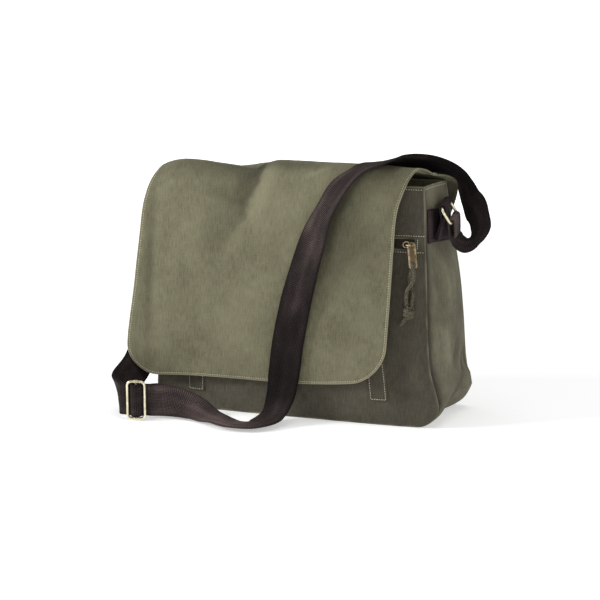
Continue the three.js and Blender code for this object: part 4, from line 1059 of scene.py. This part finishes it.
def bandSkin(side, u, v):  # a place on a side band, u from 0 to 1 across as seen from outside and v from 0 to 1 up
    across = bandWork["endGap"] + (1 - 2 * bandWork["endGap"]) * (u if side > 0 else 1 - u)
    z = bandWork["bottom"] + v * cut["webWidth"] + bandWork["tilt"] * (0.5 - across)
    return gussetPoint(side + 0 * z, z, side + 0 * z, across)


def makeBand(name, node, side):
    long, drawn, wide, near = bandWork["length"], bandWork["drawn"], cut["webWidth"], (0, 0.4, 1, 2)
    u, v = np.meshgrid(edgeLines(0, drawn, 3, near) / drawn, edgeLines(0, wide, 2.5, near) / wide)
    points = bandSkin(side, u, v)
    d = stripDistance(u, long, v, wide)
    normals = gridNormals(points)
    wave = 0.3 * softNoise(u * 4, v * 3, 61) * smooth(d / 5)
    high = bandWork["stand"] + bandWork["thick"] * rounding(d + 0.15, 1.0) + wave
    high = high - 0.3 * bell((d - bandWork["stitch"]) / 1.1)
    outer, inner = points + normals * high[..., None], points + normals * bandWork["stand"]
    addCloth(name, outer, inner, plumWebbing, "webbing", [node], (v * wide, u * long), wave, 0 * u)


def legRows(lie, out):  # one leg of a ring's loop, from its foot up, leaning further into the ring's lie
    rows = []
    for i, z in enumerate((tabWork["foot"], (tabWork["foot"] + ringWork["z"]) / 2 - 6, ringWork["z"] - 14)):
        at, outward, across, _ = sideFrame(lie, z, i / 2)
        rows.append(np.r_[at + outward * (out + lie["stand"] * i / 2), across])
    return rows


def makeSide(label, lie):
    bars, ending = ringBars(lie), label.lower()
    makeBand("sideBand" + label, "side_band_" + ending, lie["side"])
    rows = legRows(lie, legOuter) + foldRows(bars, "upper") + legRows(lie, legInner)[::-1]
    webbingPiece("ringTab" + label, rows, 8, plumWebbing, ["ring_tab_" + ending])
    outline = roundedOutline(ringWork["inner"] + 2 * ringWork["wire"], ringWork["depth"], ringWork["corner"], 14)
    middle = (bars["upper"] + bars["lower"]) / 2
    path = middle + outline[:, :1] * bars["across"] - outline[:, 1:] * bars["down"]
    points, faces = sweep(path, circle(ringWork["wire"], 16), np.cross(bars["down"], bars["across"]), closed=True)
    addPiece("ring" + label, points, faces, paleBrass, "pale_brass", ["ring_" + ending])


for label, lie in ringLie.items():
    makeSide(label, lie)
print("sides made")

# Shoulder strap: from the right ring over the top, down the front, along the ground, through the slider, to the left
# leaf: painted light on the strap's cut end at the right ring
strapWork = {"perSpan": 10, "wave": 0.35, "leaf": 3.0,
             # shade: painted light and shade along the strap, one value a row
             "shade": [1.6, 1.6, 1.5, 1.3, 1.0, 0.8, 0.6, 0.5, 0.4, 0.45, 0.6, 0.9, 1.3, 1.6, 1.55, 1.45, 1.5, 0.75,
                       0.75, 0.64, 0.3, 0.4, 1.1, 2.4, 2.9, 3.3, 3.7, 3.8, 3.8, 3.4]}
strapSlide = {"place": (-173.0, -144.0), "yaw": 0.184, "height": 45.8, "width": 21.2, "wire": 1.7, "corner": 5.0,
              "bar": 1.5, "collar": 2.3}
strapRoute = np.array([  # x, y, z of the middle, then the way across
    (188, -2, 220.5, -0.05, -0.97, -0.2), (195.5, 2, 215.5, 0.05, -0.95, -0.3), (203.5, 6, 216.5, 0.1, -0.96, -0.26),
    (210, 10.5, 223, 0.5, -0.85, -0.1), (212, 15, 234, 0.75, -0.65, 0), (207, 19, 249, 0.83, -0.55, 0.02),
    (195.5, 29, 266, 0.78, -0.6, 0.16), (186, 31, 285, 0.64, -0.7, 0.28), (173, 23, 299.6, 0.47, -0.75, 0.46),
    (151, 14, 307.8, 0.32, -0.74, 0.59), (127, 2, 312, 0.3, -0.77, 0.54), (111, -13, 314.2, 0.38, -0.83, 0.36),
    (96, -40, 313.2, 0.43, -0.9, 0.02), (79.5, -61, 306, 0.49, -0.87, -0.08), (60.5, -71.5, 287, 0.66, -0.72, -0.2),
    (43.5, -76, 256, 0.66, -0.68, -0.32), (32, -76, 228, 0.84, -0.44, -0.32), (20, -76, 190, 0.93, -0.28, -0.24),
    (8.5, -78, 143.5, 0.985, -0.08, -0.16), (0, -81.5, 95, 0.99, 0, -0.13), (-4.5, -84, 55, 0.99, -0.05, -0.12),
    (-7, -89, 30, 0.93, -0.3, -0.2), (-11.5, -104, 10.5, 0.75, -0.64, -0.1), (-26, -129, 4.2, 0.5, -0.86, 0.06),
    (-50, -134, 4, 0.1, -0.99, 0.09), (-72, -123, 3.8, -0.25, -0.96, 0.08), (-91, -113, 4.2, -0.2, -0.97, -0.1),
    (-111, -107.5, 11, 0, -0.88, -0.48), (-132, -109, 16.8, 0, -0.69, -0.72), (-149, -118, 21.2, 0, -0.45, -0.89)])
strapTail = np.array([
    (-195.5, -140.5, 25.5, 0.14, -0.12, -0.98), (-204.5, -127, 27, 0.3, -0.2, -0.93),
    (-209, -104, 33, 0.5, -0.02, -0.86), (-206, -68, 49, 0.54, 0.27, -0.8), (-205, -38, 82, 0.45, 0.6, -0.66),
    (-205, -17, 128, 0.25, 0.92, -0.3), (-205, -4, 176, 0.08, 0.99, -0.1), (-205, 2.5, 222, 0, 1, 0)])
sliderWeave = [(16, -4.6), (10.6, -3.8), (7, -1.4), (5.4, 1.4), (3.6, 4.2), (0, 5.6), (-3.6, 4.2), (-5.4, 1.4),
               (-7, -1.4), (-10.6, -3.8), (-16, -4.6)]
slideAlong = np.array([-np.cos(strapSlide["yaw"]), -np.sin(strapSlide["yaw"]), 0])
slideFront = np.array([np.sin(strapSlide["yaw"]), -np.cos(strapSlide["yaw"]), 0])
slideMiddle = np.array([*strapSlide["place"], strapSlide["height"] / 2 + strapSlide["collar"]])


def slideRow(along, lift):  # a row of webbing at a place along the slider, in front of its frame
    return np.r_[slideMiddle - slideAlong * along + slideFront * lift, 0, 0, -1]


def makeStrap():
    right, left = ringBars(ringLie["Right"]), ringBars(ringLie["Left"])
    cutEnd = [besideBar(right, "lower", foldRadius + 0.8, rise) for rise in (-20, -10)]
    rightLeg = [besideBar(right, "lower", off - foldRadius, rise) for off, rise in ((0.4, -9), (2.4, -18))]
    leftFold = foldRows(left, "lower")
    leftEnd = np.r_[leftFold[-1][:2], left["lower"][2] - 4, leftFold[-1][3:]]
    start = np.array(cutEnd + foldRows(right, "lower") + rightLeg) * np.array([1, 1, 1, -1, -1, -1])
    weave = [slideRow(a, b) for a, b in sliderWeave]
    rows = np.array([*start, *strapRoute, *weave, *strapTail, *leftFold, leftEnd])
    # painted light on the cut end, and painted light and shade along the route
    shade = np.r_[np.full(len(start), strapWork["leaf"]), strapWork["shade"],
                  np.ones(len(rows) - len(start) - len(strapRoute))]
    webbingPiece("shoulderStrap", rows, strapWork["perSpan"], brownWebbing, ["shoulder_strap"], shade,
                 strapWork["wave"])
    first = len(start) + len(strapRoute) + len(weave)
    last = first + len(strapTail) - 1
    middle, across, normal = webPath(rows, np.linspace(first, last, 2 * (last - first) + 1) / (len(rows) - 1))
    behind = np.c_[middle + normal * (cut["webThick"] + 4 * cut["seat"]), across]
    hook = strapSlide["bar"] + cut["seat"] + cut["webThick"] / 2
    bend = [slideRow(hook * np.cos(a), hook * np.sin(a)) for a in np.linspace(np.pi / 2, -np.pi / 2, 9)]
    end = np.r_[leftEnd[:2], leftEnd[2] - 11 * cut["seat"], leftEnd[3:]]
    returnRows = np.array([*bend, slideRow(-7, -5.2), slideRow(-13, -8), *behind, end])
    webbingPiece("strapReturn", returnRows, 8, brownWebbing, ["strap_return"], wave=0.1, seed=52)


def makeSlide():  # round wire bent to a frame, with its bar and a collar at each end of the bar
    s = strapSlide
    outline = roundedOutline(s["width"], s["height"], s["corner"], 12)
    along = np.linspace(-1, 1, 24)
    parts = [sweep(np.c_[outline, 0 * outline[:, 0]], circle(s["wire"], 14), (0, 0, 1), closed=True),
             sweep(np.stack([0 * along, along * s["height"] / 2, 0 * along], -1), circle(s["bar"], 14), (0, 0, 1))]
    swell = s["collar"] - s["wire"]
    t = np.linspace(-1, 1, 25)
    size = s["wire"] + swell * np.clip(1.25 - np.abs(t) ** 6, 0, 1) - 0.9 * swell * bell(t / 0.12)
    for end in (-1, 1):  # a curl of the bar's metal wrapped on the rail, with a slit at its middle
        path = np.stack([2.6 * t, 0 * t + end * s["height"] / 2, 0 * t], -1)
        parts.append(sweep(path, circle(1.0, 16)[None] * size[:, None, None], (0, 0, 1)))
    points, faces = joined(*parts)
    spin = turnZ(s["yaw"]) @ turnX(np.pi / 2)
    addPiece("strapSlider", points @ spin.T + slideMiddle, faces, paleBrass, "pale_brass", ["strap_slider"])


makeStrap()
makeSlide()
print("strap made")


# Stitching: one mesh for each kind of seam
def sewn(surface, u, v, du, dv, lift=0, **row):  # a row of stitches on a surface, lifted to the cloth's face
    normals = normalsOf(surface, u, v, du, dv)
    return stitchRow(surface(u, v) + normals * lift, normals, **row)


def boxRow(across, up, inset, width, height):  # once round a strip, drawn in by an inset, as shares across and up
    a, b = np.linspace(0, 1, across), np.linspace(0, 1, up)
    u, v = np.r_[a, 0 * b + 1, a[::-1], 0 * b], np.r_[0 * a, b, 0 * a + 1, b[::-1]]
    return u * (1 - 2 * inset / width) + inset / width, v * (1 - 2 * inset / height) + inset / height


def makeStitches():
    onFlap = lambda e, along: sewn(flapPoint, e, along, 2e-3, 0.3, cut["flapCloth"] / 2)
    cross = np.linspace(-0.97, 0.97, 160)
    parts = [onFlap(cross, 0 * cross + flapWork["length"] - off) for off in flapWork["seamRows"]]
    addPiece("flapStitches", *joined(onFlap(*flapOutline(flapWork["stitch"])), *parts), paleThread, "canvas_flap")
    parts = []
    front = lambda x, z: skin("Front", x, z)
    back = lambda x, z: skin("Back", -x, z)
    hemZ = cut["bodyHeight"] - panelWork["hemStitch"]
    for surface, face in ((front, "Front"), (back, "Back")):
        middle, half = panelSpan(face, np.array(hemZ))
        x = np.linspace(middle - half + 3, middle + half - 3, 200) * -outwards[face]
        parts.append(sewn(surface, x, 0 * x + hemZ, 0.4, 0.4))
    for sign in (-1, 1):
        x = np.linspace(zipWork["left"] - 8, zipWork["right"] + 12, 200)
        parts.append(sewn(front, x, 0 * x + zipWork["z"] + sign * zipWork["stitch"], 0.4, 0.4))
        z = np.linspace(zipWork["z"] - 6, zipWork["z"] + 6, 20)
        end = zipWork["right"] + 3.5 if sign > 0 else zipWork["left"] - 3.5
        parts.append(sewn(front, 0 * z + end, z, 0.4, 0.4, pitch=2.4))
        across = np.linspace(0.03, 0.97, 60)[::sign]
        z = 0 * across + cut["bodyHeight"] - gussetWork["hemStitch"]
        parts.append(sewn(lambda a, h: gussetSkin(sign, h, a), across, z, 0.004 * sign, 0.4))
    u, v = boxRow(20, 40, tapeWork["stitch"], tapeWork["width"], tapeWork["height"])
    for _, *place in tapeWork["places"].values():
        tape = lambda a, b: tapeSkin(*place, a, b)
        parts.append(sewn(tape, u, v, 0.015, 0.005, cut["seat"] + tapeWork["thick"]))
    addPiece("bodyStitches", *joined(*parts), paleThread, "canvas_body")
    u, v = boxRow(50, 24, bandWork["stitch"], bandWork["length"], cut["webWidth"])
    lift = bandWork["stand"] + bandWork["thick"] - 0.3
    parts = [sewn(lambda a, b: bandSkin(side, a, b), u, v, 0.005, 0.01, lift) for side in (-1, 1)]
    addPiece("bandStitches", *joined(*parts), brownThread, "webbing")


makeStitches()
print("stitches made")
